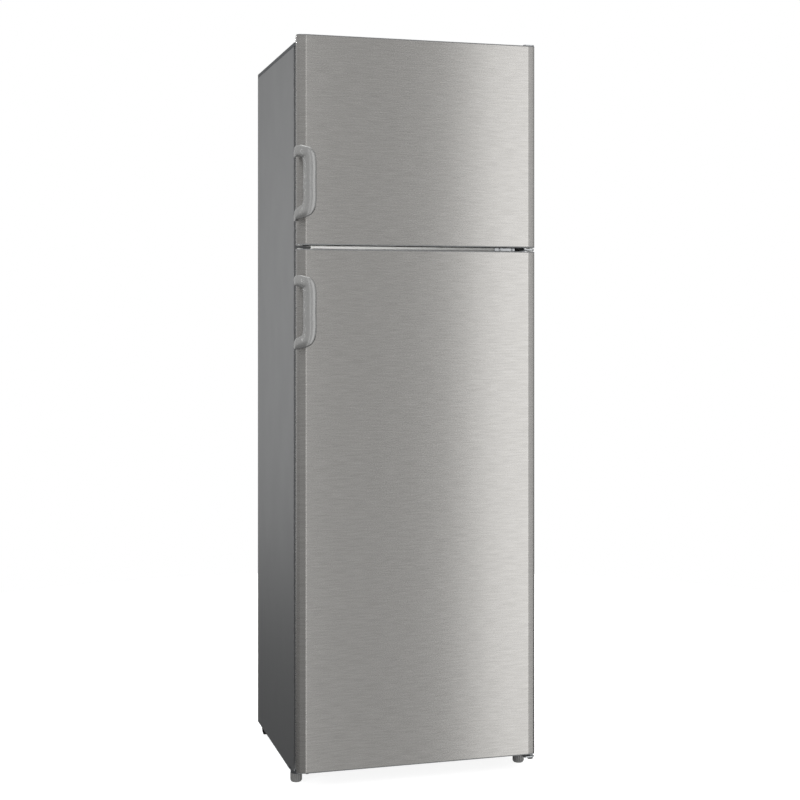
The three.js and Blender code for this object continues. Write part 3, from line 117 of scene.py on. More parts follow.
# %% World, soft boxes and floor
scene.view_settings.view_transform = "Standard"
WORLD_DARK, WORLD_BRIGHT = 0.05, 0.50
world = bpy.data.worlds.new("studio")
world.use_nodes = True
sky = world.node_tree
sky.nodes.clear()
towards = add_node(
    sky, "ShaderNodeSeparateXYZ", {0: add_node(sky, "ShaderNodeTexCoord").outputs["Generated"]}
)
above = add_node(
    sky, "ShaderNodeMapRange",
    {"Value": towards.outputs["Z"], "From Min": -0.23, "From Max": -0.11},
    interpolation_type="SMOOTHSTEP",
)
ahead = add_node(
    sky, "ShaderNodeMapRange",
    {"Value": towards.outputs["Y"], "From Min": -0.35, "From Max": -0.75},
    interpolation_type="SMOOTHSTEP",
)
to_right = add_node(
    sky, "ShaderNodeMapRange",
    {"Value": towards.outputs["X"], "From Min": -0.30, "From Max": 0.05},
    interpolation_type="SMOOTHSTEP",
)
ahead = add_node(
    sky, "ShaderNodeMath", {0: ahead.outputs[0], 1: to_right.outputs[0]}, operation="MULTIPLY"
)
open_side = add_node(
    sky, "ShaderNodeMath", {0: above.outputs[0], 1: ahead.outputs[0]}, operation="MAXIMUM"
)
strength = add_node(
    sky, "ShaderNodeMapRange",
    {"Value": open_side.outputs[0], "To Min": WORLD_DARK, "To Max": WORLD_BRIGHT},
)
lit = add_node(
    sky, "ShaderNodeBackground", {"Color": (1, 1, 1, 1), "Strength": strength.outputs[0]}
)
seen = add_node(sky, "ShaderNodeBackground", {"Color": (1, 1, 1, 1), "Strength": 1.0})
ray = add_node(sky, "ShaderNodeLightPath")
either = add_node(
    sky, "ShaderNodeMixShader",
    {0: ray.outputs["Is Camera Ray"], 1: lit.outputs[0], 2: seen.outputs[0]},
)
add_node(sky, "ShaderNodeOutputWorld", {"Surface": either.outputs[0]})
scene.world = world


def soft_box(name, place, target, size, watts, spread):
    """A rectangular area light that faces a point and that the camera doesn't see."""
    data = bpy.data.lights.new(name, "AREA")
    data.shape = "RECTANGLE"
    data.size, data.size_y = size
    data.energy = watts
    data.spread = math.radians(spread)
    light = bpy.data.objects.new(name, data)
    light.location = place
    facing = Vector(target) - Vector(place)
    light.rotation_euler = facing.to_track_quat("-Z", "Y").to_euler()
    light.visible_camera = False
    scene.collection.objects.link(light)
    return light


# place, the point it faces, width and height in metres, watts, spread in degrees
SOFT_BOXES = {
    "box_right_front": ((1.92, -2.86, 0.9), (1.92, 0.0, 0.9), (1.78, 5.0), 27, 180),
    "box_front": ((-0.05, -2.86, 0.9), (-0.05, 0.0, 0.9), (0.35, 5.0), 5, 180),
    "box_left_high": ((-2.6, -1.3, 1.6), (-0.28, 0.05, 1.15), (0.9, 0.9), 4.6, 50),
    "box_behind": ((0.0, 3.4, 1.3), (0.0, 0.3, 1.0), (0.24, 1.8), 24, 70),
    "box_above": ((0.2, 0.2, 4.2), (0.2, 0.1, 0.0), (3.4, 3.4), 60, 180),
}
for name, facts in SOFT_BOXES.items():
    # the box at the left lights the paint but would burn a white line into the polished corners
    soft_box(name, *facts).visible_glossy = name != "box_left_high"

FLOOR_RADIUS = 2.6
FLOOR_GLOW = 0.88
floor_mesh = bpy.data.meshes.new("floor")
floor_bm = bmesh.new()
bmesh.ops.create_circle(floor_bm, cap_ends=True, radius=FLOOR_RADIUS, segments=96)
floor_bm.to_mesh(floor_mesh)
floor_bm.free()
floor = bpy.data.objects.new("floor", floor_mesh)
floor.visible_glossy = floor.visible_diffuse = floor.visible_shadow = False
scene.collection.objects.link(floor)
floor_paint = bpy.data.materials.new("matt_white_floor")
floor_paint.use_nodes = True
floor_shader = floor_paint.node_tree.nodes["Principled BSDF"]
floor_shader.inputs["Base Color"].default_value = hex_colour("#C8C8C8")
floor_shader.inputs["Roughness"].default_value = 0.9
floor_shader.inputs["Emission Color"].default_value = (1, 1, 1, 1)
floor_shader.inputs["Emission Strength"].default_value = FLOOR_GLOW
floor_mesh.materials.append(floor_paint)

# %% [markdown]
# ## Finishes
# Each finish starts from what the real material is and how its surface was made. One function
# makes the shader with its constant values, and one lays a pattern on it: a texture measured in
# millimetres on Object coordinates, which stay put on a piece whatever the camera does and
# whichever way a door swings. A finish usually wears two or three patterns of different size,
# because real surfaces vary at the scale of the tool, of the sheet and of the hand.

# %% A shader to start from, and a pattern laid on it
def new_finish(name, colour, **values):
    """A material of one Principled shader; values are its sockets, written with underscores."""
    material = bpy.data.materials.new(name)
    material.use_nodes = True
    material.diffuse_color = hex_colour(colour)
    shader = material.node_tree.nodes["Principled BSDF"]
    shader.inputs["Base Color"].default_value = hex_colour(colour)
    for socket, value in values.items():
        shader.inputs[socket.replace("_", " ")].default_value = value
    return material


def lay_pattern(
    material, size_mm, colours=None, roughness=None, relief_mm=0.0, kind="ShaderNodeTexNoise",
    output=0, detail=3.0,
):
    """A pattern of the given feature size on a finish: two colours, a roughness range, a relief."""
    tree = material.node_tree
    shader = tree.nodes["Principled BSDF"]
    place = add_node(tree, "ShaderNodeTexCoord").outputs["Object"]
    scale = [1 / (MM * length) for length in size_mm]
    place = add_node(tree, "ShaderNodeMapping", {"Vector": place, "Scale": scale}).outputs[0]
    texture = add_node(tree, kind, {"Vector": place, "Scale": 1.0, "Detail": detail})
    value = texture.outputs[output]
    if colours:
        ramp = add_node(tree, "ShaderNodeValToRGB", {"Fac": value})
        for element, position, code in zip(ramp.color_ramp.elements, (0.3, 0.7), colours):
            element.position, element.color = position, hex_colour(code)
        tree.links.new(ramp.outputs[0], shader.inputs["Base Color"])
    if roughness:
        low, high = roughness
        spread = add_node(
            tree, "ShaderNodeMapRange", {"Value": value, "To Min": low, "To Max": high},
        )
        tree.links.new(spread.outputs[0], shader.inputs["Roughness"])
    if relief_mm:
        inputs = {"Height": value, "Distance": relief_mm * MM, "Strength": 1.0}
        if shader.inputs["Normal"].is_linked:
            inputs["Normal"] = shader.inputs["Normal"].links[0].from_socket
        raised = add_node(tree, "ShaderNodeBump", inputs)
        tree.links.new(raised.outputs[0], shader.inputs["Normal"])


# %% [markdown]
# ### Brushed steel doors
# The doors are pre-coated steel with a hairline brushing that runs across them. Brushing is a
# field of parallel scratches: along them the steel is nearly a mirror, across them it scatters.
# That is what Anisotropic does; the skin's own UV map tells the shader which way the scratches
# run, and a quarter turn stretches the reflections across them. Real hairlines are a tenth of a
# millimetre wide and would vanish here, so they are drawn about a millimetre high and a finger's
# length long, with a coarser set on top for the wandering of the brush, a faint upright weave
# from the coating roller, and a broad, very shallow swell for the sheet itself.

# %% Brushed stainless-look steel
brushed_steel = new_finish(
    "brushed_stainless_steel", "#BDBBB8", Metallic=1.0, Roughness=0.27, Anisotropic=0.9,
    Anisotropic_Rotation=0.25,
)
lay_pattern(brushed_steel, (170, 170, 230), relief_mm=0.03, detail=1.0)
lay_pattern(brushed_steel, (2.2, 2.2, 70), relief_mm=0.0016, detail=1.0)
lay_pattern(brushed_steel, (42, 42, 3.4), ("#B7B5B2", "#C3C1BE"), relief_mm=0.009)
lay_pattern(brushed_steel, (26, 26, 1.3), roughness=(0.245, 0.295), relief_mm=0.004, detail=2.0)
grain = add_node(
    brushed_steel.node_tree, "ShaderNodeTangent", direction_type="UV_MAP", uv_map="grain"
)
brushed_steel.node_tree.links.new(
    grain.outputs[0], brushed_steel.node_tree.nodes["Principled BSDF"].inputs["Tangent"]
)

# %% [markdown]
# ### Painted sides and rails
# The sides are steel sheet with a baked polyester powder coat in grey. Powder flows before it
# sets and leaves orange peel, a shallow relief of about two millimetres, over a grey that is
# very slightly cloudy. The peel is what breaks up the reflections at a glancing angle.

# %% Powder-coated steel
grey_paint = new_finish("grey_powder_coat", "#6E6F70", Roughness=0.34, IOR=1.5)
lay_pattern(grey_paint, (90, 90, 140), roughness=(0.30, 0.38))
lay_pattern(grey_paint, (0.9, 0.9, 0.9), ("#696A6B", "#737475"), detail=1.0)
lay_pattern(grey_paint, (2.4, 2.4, 2.4), relief_mm=0.02, detail=2.0)

# %% [markdown]
# ### Moulded plastics
# All the small covers are injection moulded, so their surface is a copy of the mould: handles
# and caps come from a polished mould and are lacquered silver, with the metal flake showing as a
# fine sparkle; covers, feet and rollers come from a spark-eroded mould with an even grain of
# about half a millimetre. Plastics are dielectrics with an IOR close to 1.5.

# %% Silver lacquered plastic
handle_plastic = new_finish(
    "silver_lacquered_ABS", "#A5A5A4", Metallic=0.6, Roughness=0.26, IOR=1.5, Coat_Weight=0.3,
    Coat_Roughness=0.2,
)
lay_pattern(handle_plastic, (12, 12, 30), roughness=(0.24, 0.3))
lay_pattern(handle_plastic, (0.35, 0.35, 0.35), ("#9E9E9D", "#ABABAA"), detail=1.0)
lay_pattern(handle_plastic, (3, 3, 3), relief_mm=0.006)

cap_plastic = new_finish("silver_grey_ABS_caps", "#8F9091", Metallic=0.2, Roughness=0.42, IOR=1.5)
lay_pattern(cap_plastic, (30, 30, 8), roughness=(0.38, 0.47))
lay_pattern(cap_plastic, (0.6, 0.6, 0.6), ("#8A8B8C", "#959697"), relief_mm=0.012, detail=2.0)


# %% Plastics with the grain of a spark-eroded mould
def grained_plastic(name, dark, light, low, high, grain_mm=0.6, relief_mm=0.02, **values):
    """Moulded plastic: a fine grain in colour and relief over slow changes of gloss."""
    material = new_finish(name, light, Roughness=high, IOR=1.5, **values)
    lay_pattern(material, (40, 40, 40), roughness=(low, high), detail=2.0)
    lay_pattern(material, (grain_mm,) * 3, (dark, light), relief_mm=relief_mm, detail=2.0)
    return material


cover_plastic = grained_plastic("charcoal_polypropylene", "#4A4C4E", "#55575A", 0.5, 0.62)
foot_plastic = grained_plastic("grey_foot_polypropylene", "#A0A09F", "#ACACAB", 0.45, 0.6, 0.8)
roller_plastic = grained_plastic("black_roller_nylon", "#161617", "#1F1F20", 0.38, 0.5, 0.8)
white_plastic = grained_plastic("white_ABS_mouldings", "#EBEBE8", "#F1F1EE", 0.28, 0.38, 0.9, 0.01)
rubber = grained_plastic("black_rubber", "#121212", "#1A1A1A", 0.75, 0.9, 1.0, 0.04)
seal_plastic = grained_plastic("grey_soft_PVC_gasket", "#808284", "#8B8D8F", 0.6, 0.75, 1.2)

# %% [markdown]
# ### The white liners
# Liners are sheets of polystyrene, heated and sucked over a mould. The hot sheet stretches, so
# its gloss is even but its surface has the long, soft ripple that reflections show in any
# refrigerator, and light enters it a little, which makes the shadows in its corners milky.

# %% Thermoformed polystyrene
white_liner = new_finish(
    "white_thermoformed_polystyrene", "#F0F1EF", Roughness=0.26, IOR=1.59,
    Subsurface_Weight=0.08, Subsurface_Scale=0.004,
)
lay_pattern(
    white_liner, (110, 110, 160), ("#F5F6F4", "#F7F8F6"), (0.25, 0.28), relief_mm=0.02,
    detail=1.0,
)
lay_pattern(white_liner, (9, 9, 9), relief_mm=0.012, detail=2.0)

# %% [markdown]
# ### Clear plastic and shelf glass
# Bins, the crisper and the ice tray are clear polystyrene, thin enough to be almost colourless
# with a cool tint in the edges. The shelves are float glass, whose iron makes their cut edges
# green. Both transmit light; a little roughness keeps the plastic from looking like glass.

# %% Clear polystyrene and tempered glass
clear_plastic = new_finish(
    "clear_polystyrene", "#F4F8FA", Roughness=0.12, IOR=1.59, Transmission_Weight=0.72
)
lay_pattern(clear_plastic, (26, 26, 60), ("#EFF5F8", "#F8FBFC"), (0.09, 0.16), relief_mm=0.02)
shelf_glass = new_finish(
    "tempered_float_glass", "#DDEFE8", Roughness=0.02, IOR=1.52, Transmission_Weight=1.0
)
lay_pattern(shelf_glass, (60, 60, 60), ("#D9EDE5", "#E6F3EE"), (0.01, 0.05))

# %% [markdown]
# ### Plated, galvanised and drawn metals
# Hinges, brackets and screws are pressed steel with a bright zinc plate, slightly hazy; the back
# panel and base plate are hot-dip galvanised, whose zinc freezes in crystals about a centimetre
# across, called spangle; the compressor and condenser are steel under black stoving enamel; the
# tubes are drawn copper, browned by brazing; and the evaporator is rolled aluminium. Metals
# keep the default IOR, because their colour already says how they reflect.

# %% Zinc plate, spangled sheet, black enamel, copper, aluminium
zinc_steel = new_finish("bright_zinc_plated_steel", "#C2C4C6", Metallic=1.0, Roughness=0.3)
lay_pattern(zinc_steel, (9, 9, 9), ("#B4B6B9", "#CDCFD0"), (0.24, 0.4))
lay_pattern(zinc_steel, (0.8, 0.8, 0.8), relief_mm=0.004)

galvanised = new_finish("galvanised_steel", "#9DA1A4", Metallic=0.9, Roughness=0.42)
lay_pattern(
    galvanised, (11, 11, 11), ("#8F9396", "#A9ADB0"), (0.34, 0.5), kind="ShaderNodeTexVoronoi",
    output="Color", detail=0.0,
)
lay_pattern(galvanised, (1.5, 1.5, 1.5), relief_mm=0.01)

black_steel = new_finish("black_stoved_enamel", "#17181A", Roughness=0.36, IOR=1.5, Coat_Weight=0.2)
lay_pattern(black_steel, (18, 18, 18), ("#131415", "#202123"), (0.3, 0.5), detail=5.0)
lay_pattern(black_steel, (1.8, 1.8, 1.8), relief_mm=0.015)

copper = new_finish("drawn_copper_tube", "#B87348", Metallic=1.0, Roughness=0.32)
lay_pattern(copper, (14, 14, 20), ("#93583A", "#C27F55"), (0.25, 0.45), relief_mm=0.01, detail=4.0)

cold_aluminium = new_finish("roll_bonded_aluminium", "#C6C9CB", Metallic=1.0, Roughness=0.4)
lay_pattern(
    cold_aluminium, (120, 120, 1.6), ("#BCBFC1", "#D0D3D5"), (0.34, 0.46), relief_mm=0.01,
    detail=2.0,
)

# %% [markdown]
# ### Foam
# Polyurethane foam fills the walls. Where the sheet stops it would show as a honey-coloured
# skin with cells under it, so it gets a cellular relief and an uneven colour.

# %% Polyurethane foam
foam = new_finish("polyurethane_foam", "#E2D3A2", Roughness=0.85)
lay_pattern(foam, (35, 35, 35), ("#D3C08A", "#E9DCB2"), detail=4.0)
lay_pattern(
    foam, (2.2, 2.2, 2.2), relief_mm=0.25, kind="ShaderNodeTexVoronoi", output="Distance",
    detail=0.0,
)

SLOT_FINISH = {
    "brushed_inox": brushed_steel, "grey_paint": grey_paint, "dark_plastic": cover_plastic,
    "handle_plastic": handle_plastic, "cap_plastic": cap_plastic, "white_liner": white_liner,
    "white_plastic": white_plastic, "clear_plastic": clear_plastic, "shelf_glass": shelf_glass,
    "foam": foam, "black_steel": black_steel, "zinc_steel": zinc_steel,
    "galvanised": galvanised, "copper": copper, "cold_plate": cold_aluminium,
    "foot_plastic": foot_plastic, "roller_plastic": roller_plastic, "seal": seal_plastic,
}
print("finishes", len(SLOT_FINISH))

# %% [markdown]
# ## From CAD solids to finished pieces
# A CAD solid has razor edges, and nothing made of sheet or moulded plastic does: its rounded
# edges are what catch the light. Small plain pieces are therefore copied, merged into a clean
# mesh and given a bevel of their real edge radius. The weighted normals that follow keep the
# flats looking flat. Pieces with a shape of their own are built further down instead.

# %% Which finish each CAD node has
SLOT_NODES = {
    "brushed_inox": "freezer_door_skin fridge_door_skin",
    "grey_paint": "left_side_panel right_side_panel mullion_rail front_base_rail",
    "dark_plastic": "top_cover top_hinge_cover relay_cover drip_tray",
    "handle_plastic": "freezer_door_handle fridge_door_handle",
    "cap_plastic": "freezer_door_top_cap freezer_door_bottom_cap fridge_door_top_cap "
    "fridge_door_bottom_cap",
    "white_liner": "freezer_liner fridge_liner freezer_door_liner fridge_door_liner",
    "white_plastic": "lamp_housing thermostat_knob light_switch",
    "clear_plastic": "lamp_cover ice_tray crisper_drawer freezer_door_bin_lower "
    "freezer_door_bin_upper fridge_door_bin_middle fridge_door_bin_upper bottle_rack",
    "shelf_glass": "fridge_shelf_lower fridge_shelf_middle fridge_shelf_upper crisper_cover "
    "freezer_shelf",
    "foam": "cabinet_foam freezer_door_foam fridge_door_foam",
    "black_steel": "compressor condenser_coil condenser_rail_left condenser_rail_right",
    "zinc_steel": "bottom_hinge foot_bracket_left middle_hinge top_hinge roller_bracket_left "
    "roller_bracket_right",
    "galvanised": "back_panel base_plate",
    "copper": "filter_drier suction_tube",
    "cold_plate": "cold_plate",
    "foot_plastic": "front_foot_left front_foot_right",
    "roller_plastic": "rear_roller_left rear_roller_right",
    "seal": "freezer_door_seal fridge_door_seal",
}
node_slot = {node: slot for slot, nodes in SLOT_NODES.items() for node in nodes.split()}
node_body = {
    node: body
    for body, members in frame["record"]["behaviour"]["bodies"].items()
    for node in members
}
for name, cad in frame["nodes"].items():
    cad.data.materials.clear()
    cad.data.materials.append(SLOT_FINISH[node_slot[name]])
print("nodes with a slot", len(node_slot))


# %% Finishing a piece: link it, smooth it, and tie it to the frame
def mesh_from(bm, name, outwards=True):
    """The mesh of a bmesh, with its faces turned outwards first where asked."""
    if outwards:
        bmesh.ops.recalc_face_normals(bm, faces=bm.faces)
    mesh = bpy.data.meshes.new(name)
    bm.to_mesh(mesh)
    bm.free()
    return mesh


def place(name, mesh, body, slot, *nodes, bevel_mm=0.0, segments=2, angle=32):
    """A finished piece at the origin, with an edge radius where asked, riding on its body."""
    piece = bpy.data.objects.new(name, mesh)
    scene.collection.objects.link(piece)
    if not mesh.materials:
        mesh.materials.append(SLOT_FINISH[slot])
    mesh.polygons.foreach_set("use_smooth", [True] * len(mesh.polygons))
    if bevel_mm:
        edge = piece.modifiers.new("edge_radius", "BEVEL")
        edge.width = bevel_mm * MM
        edge.segments = segments
        edge.limit_method = "ANGLE"
        edge.angle_limit = math.radians(angle)
        edge.use_clamp_overlap = True
        piece.modifiers.new("flat_faces", "WEIGHTED_NORMAL").keep_sharp = True
    else:
        mesh.set_sharp_from_angle(angle=math.radians(angle))
    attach(piece, body)
    if nodes:
        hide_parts(*nodes)
    return piece


def merged_copy(node, name):
    """A CAD node's solid as a clean mesh of flat faces."""
    bm = bmesh.new()
    bm.from_mesh(frame["nodes"][node].data)
    bmesh.ops.remove_doubles(bm, verts=bm.verts, dist=2e-6)
    bmesh.ops.dissolve_limit(
        bm, angle_limit=math.radians(0.8), verts=bm.verts, edges=bm.edges, delimit={"NORMAL"}
    )
    return mesh_from(bm, name, outwards=False)


def rounded_copy(node, bevel_mm, angle=32):
    """A CAD node's solid as a piece with rounded edges, which stands for it."""
    name = node + "_piece"
    return place(
        name, merged_copy(node, name), node_body[node], node_slot[node], node, bevel_mm=bevel_mm,
        angle=angle,
    )


for node, radius in {
    "left_side_panel": 0.9, "right_side_panel": 0.9, "top_cover": 1.4, "mullion_rail": 0.3,
    "front_base_rail": 0.3, "bottom_hinge": 0.5, "foot_bracket_left": 0.4, "middle_hinge": 0.5,
    "top_hinge": 0.5, "top_hinge_cover": 1.0, "roller_bracket_left": 0.4,
    "roller_bracket_right": 0.4, "base_plate": 0.4, "relay_cover": 1.2, "drip_tray": 0.8,
    "condenser_rail_left": 0.3, "condenser_rail_right": 0.3, "lamp_housing": 1.0,
    "thermostat_knob": 0.8, "light_switch": 0.6, "lamp_cover": 0.5,
}.items():
    rounded_copy(node, radius)
print("rounded copies made")

# %% [markdown]
# ## Outlines and sheets
# Most of the big pieces are an outline pushed along an axis: a door's plan pushed upwards, a
# panel's section pushed along its length. One helper rounds the corners of an outline with as
# many steps as the radius deserves, and one closes a ring of points into a solid.

# %% Round the corners of an outline
def rounded_outline(corners, steps=8):
    """Corner points (x, y, radius) as a list of points with each corner turned into an arc."""
    points = []
    for i, (x, y, radius) in enumerate(corners):
        here = Vector((x, y))
        if not radius:
            points.append(here)
            continue
        before = (Vector(corners[i - 1][:2]) - here).normalized()
        after = (Vector(corners[(i + 1) % len(corners)][:2]) - here).normalized()
        half = before.angle(after) / 2
        centre = here + (before + after).normalized() * (radius / math.sin(half))
        start = here + before * (radius / math.tan(half)) - centre
        end = here + after * (radius / math.tan(half)) - centre
        turn = math.atan2(start.x * end.y - start.y * end.x, start.dot(end))
        for k in range(steps + 1):
            a = turn * k / steps
            points.append(
                centre
                + Vector(
                    (
                        start.x * math.cos(a) - start.y * math.sin(a),
                        start.x * math.sin(a) + start.y * math.cos(a),
                    )
                )
            )
    return points


def inset_outline(corners, distance):
    """A counter-clockwise corner list moved inwards, radii included."""
    made = []
    for i, (x, y, radius) in enumerate(corners):
        px, py, _ = corners[i - 1]
        nx, ny, _ = corners[(i + 1) % len(corners)]
        a = Vector((x - px, y - py)).normalized()
        b = Vector((nx - x, ny - y)).normalized()
        across = Vector((-a.y - b.y, a.x + b.x)).normalized()
        reach = distance / across.dot(Vector((-a.y, a.x)))
        made.append((x + across.x * reach, y + across.y * reach, max(0.0, radius - distance)))
    return made


def rounded_rectangle(x0, x1, v0, v1, radius, steps=6):
    """A rounded rectangle as points, counter-clockwise, always with the same count."""
    radius = max(radius, 0.0001)
    return rounded_outline(
        [(x0, v0, radius), (x1, v0, radius), (x1, v1, radius), (x0, v1, radius)], steps
    )


def prism_piece(name, outline, low, high, body, slot, bevel_mm):
    """An outline in plan as a closed solid between two heights."""
    bm = bmesh.new()
    base = bm.faces.new([bm.verts.new((p.x, p.y, low)) for p in outline])
    top = bmesh.ops.extrude_face_region(bm, geom=[base])["geom"]
    bmesh.ops.translate(
        bm, vec=(0, 0, high - low), verts=[g for g in top if isinstance(g, bmesh.types.BMVert)]
    )
    return place(name, mesh_from(bm, name), body, slot, bevel_mm=bevel_mm)


# %% [markdown]
# ## Door skins
# A door's front is one sheet, roll-formed across: a flat middle, a crease 21 mm from each side,
# a shallow bevel, a round corner, and sides that draw in slightly before they fold behind the
# foam. Because the whole shape is one section pushed upwards, it is built as two matching lines,
# outside and inside of the sheet, joined at the folded ends. The creases get a small radius of
# their own: that thin bright line is the door's most telling detail. The section's own length
# becomes the UV map that the brushed finish reads for its direction.

# %% The door's plan, from its box
DOOR_HALF = 294.0 * MM
CREASE_INSET = 21 * MM
BEVEL_DROP = 4.5 * MM
CORNER_RADIUS = 8 * MM
CREASE_RADIUS = 14 * MM
DOOR_TAPER = 6 * MM
DOOR_THICK = door_rear - door_front
SHEET = 1 * MM
FOLD = 12 * MM


def door_plan():
    """Corners of a door seen from above, counter-clockwise, with their radii."""
    crease, rear = DOOR_HALF - CREASE_INSET, DOOR_HALF - DOOR_TAPER
    corners = [
        (-crease, 0, CREASE_RADIUS), (crease, 0, CREASE_RADIUS),
        (DOOR_HALF, BEVEL_DROP, CORNER_RADIUS), (rear, DOOR_THICK, 1.5 * MM),
        (-rear, DOOR_THICK, 1.5 * MM), (-DOOR_HALF, BEVEL_DROP, CORNER_RADIUS),
    ]
    return [(x + door_middle, y + door_front, r) for x, y, r in corners]


def door_skin(node):
    """The folded sheet of one door, as tall as its CAD node."""
    low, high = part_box(node)[0].z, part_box(node)[1].z
    outer = rounded_outline(door_plan(), 10)
    inner = rounded_outline(inset_outline(door_plan(), SHEET), 10)
    mouth = DOOR_HALF - DOOR_TAPER - FOLD
    # the ring starts at the middle of the rear edge, so that the folded ends are its ends
    start = next(i for i, p in enumerate(outer) if p.x < door_middle and p.y > door_rear - 1e-6)
    line_out = outer[start:] + outer[:start]
    line_in = inner[start:] + inner[:start]
    ends = [(Vector((door_middle + s * mouth, door_rear))) for s in (-1, 1)]
    line_out = [ends[0], *line_out, ends[1]]
    line_in = [ends[0] - Vector((0, SHEET)), *line_in, ends[1] - Vector((0, SHEET))]
    ring = line_out + line_in[::-1]
    bm = bmesh.new()
    uv = bm.loops.layers.uv.new("grain")
    rings = [[bm.verts.new((p.x, p.y, z)) for p in ring] for z in (low, high)]
    run = [0.0]
    for a, b in zip(ring, ring[1:] + ring[:1]):
        run.append(run[-1] + (b - a).length)
    count = len(ring)
    for i in range(count):
        j = (i + 1) % count
        face = bm.faces.new((rings[0][i], rings[0][j], rings[1][j], rings[1][i]))
        for loop, point in zip(
            face.loops, ((run[i], low), (run[i + 1], low), (run[i + 1], high), (run[i], high))
        ):
            loop[uv].uv = point
    steps = len(line_out)
    for z_ring, turned in ((rings[0], True), (rings[1], False)):
        for i in range(steps - 1):
            quad = [z_ring[i], z_ring[i + 1], z_ring[count - 2 - i], z_ring[count - 1 - i]]
            face = bm.faces.new(quad[::-1] if turned else quad)
            for loop in face.loops:
                loop[uv].uv = (loop.vert.co.x, loop.vert.co.y)
    mesh = mesh_from(bm, node + "_sheet")
    piece = place(node + "_sheet", mesh, node_body[node], "brushed_inox", node)
    piece.modifiers.new("flat_faces", "WEIGHTED_NORMAL").keep_sharp = True
    print(node, "section", round(run[-1] / MM), "mm round,", len(mesh.polygons), "faces")


door_skin("freezer_door_skin")
door_skin("fridge_door_skin")

# %% [markdown]
# ## Door end caps
# Each end of a door is closed by a moulded cap: a plate with the door's own outline whose edge
# is rounded, a skirt that plugs into the skin, and a bush for the hinge pin at both ends, so one
# mould serves doors of either hand. Its visible part has the same outline as the skin; here it is
# the CAD cap's own solid, copied with a rounded rim, and stands for the whole CAD cap.

# %% End caps with rounded rims
for node in (
    "freezer_door_top_cap", "freezer_door_bottom_cap", "fridge_door_top_cap",
    "fridge_door_bottom_cap",
):
    rounded_copy(node, 0.5)

# %% [markdown]
# ## Bow handles
# Each handle is one moulding. Its two arms lie flat along the door's left side, sweep forward,
# turn the corner and merge into an upright grip that stands in front of the door, with an opening
# behind it for the fingers. Its surface follows a bent sheet, so the shape is a loft: an oval
# section, narrow and thin on the arms and broad on the grip, carried along a path that is drawn
# on the unrolled sheet and then bent round the corner.

# %% Handle lofted along a path on a bent sheet
HANDLE = {
    "half": 75.0, "reach": 42.0, "bend": 24.0, "foot_back": 45.0, "bar_width": 29.0,
    "arm_width": 19.0, "bar_shift": 5.5,
}


def on_handle_sheet(u, lift):
    """A point at distance u along the bent sheet and lift above it, in mm from the door's front."""
    slope = DOOR_TAPER / (DOOR_THICK - BEVEL_DROP)
    lean = math.atan(slope)
    straight = HANDLE["foot_back"] + HANDLE["reach"] - HANDLE["bend"]
    side = -DOOR_HALF / MM + slope * (HANDLE["foot_back"] - BEVEL_DROP / MM)
    start = Vector((side - 0.3, HANDLE["foot_back"]))
    forward = Vector((-math.sin(lean), -math.cos(lean)))
    outward = Vector((-math.cos(lean), math.sin(lean)))
    point = start + forward * min(u, straight)
    if u <= straight:
        return point + outward * lift
    quarter = math.pi / 2 + lean
    angle = min((u - straight) / HANDLE["bend"], quarter)
    centre = point - outward * HANDLE["bend"]
    c, s = math.cos(angle), math.sin(angle)
    normal = Vector((outward.x * c - outward.y * s, outward.x * s + outward.y * c))
    rest = max(0.0, u - straight - quarter * HANDLE["bend"])
    return centre + normal * (HANDLE["bend"] + lift) + Vector((rest, 0))


def smoothstep(x, low, high):
    """0 below the low end, 1 above the high end, and a soft ramp between."""
    t = min(1.0, max(0.0, (x - low) / (high - low)))
    return t * t * (3 - 2 * t)


def handle_route(bar_u, count):
    """Points and directions of the path on the unrolled sheet, evenly spaced, in mm."""
    top, low = HANDLE["half"], -HANDLE["half"]
    corners = [
        (0, top), (bar_u * 0.5, top - 1.2), (bar_u * 0.82, top - 3), (bar_u * 0.965, top - 10.5),
        (bar_u, top - 27), (bar_u, 0), (bar_u, low + 34), (bar_u * 0.955, low + 15.5),
        (bar_u * 0.8, low + 6), (bar_u * 0.48, low + 1), (0, low),
    ]
    curve = [Vector(c) for c in corners]
    fine = []
    for i in range(len(curve) - 1):
        p0 = curve[i - 1] if i else curve[0] * 2 - curve[1]
        p1, p2 = curve[i], curve[i + 1]
        p3 = curve[i + 2] if i + 2 < len(curve) else p2 * 2 - p1
        d1, d2, d3 = ((b - a).length ** 0.5 for a, b in ((p0, p1), (p1, p2), (p2, p3)))
        m1 = (p2 - p1) + ((p1 - p0) / d1 - (p2 - p0) / (d1 + d2)) * d2
        m2 = (p2 - p1) + ((p3 - p2) / d3 - (p3 - p1) / (d2 + d3)) * d2
        for k in range(24):
            t = k / 24
            fine.append(
                p1 * (2 * t**3 - 3 * t**2 + 1) + m1 * (t**3 - 2 * t**2 + t)
                + p2 * (-2 * t**3 + 3 * t**2) + m2 * (t**3 - t**2)
            )
    fine.append(curve[-1])
    lengths = [0.0]
    for a, b in zip(fine, fine[1:]):
        lengths.append(lengths[-1] + (b - a).length)
    made, j = [], 0
    for i in range(count + 1):
        want = lengths[-1] * i / count
        while j + 2 < len(lengths) and lengths[j + 1] < want:
            j += 1
        share = (want - lengths[j]) / max(1e-9, lengths[j + 1] - lengths[j])
        made.append((fine[j].lerp(fine[j + 1], share), (fine[j + 1] - fine[j]).normalized()))
    return made


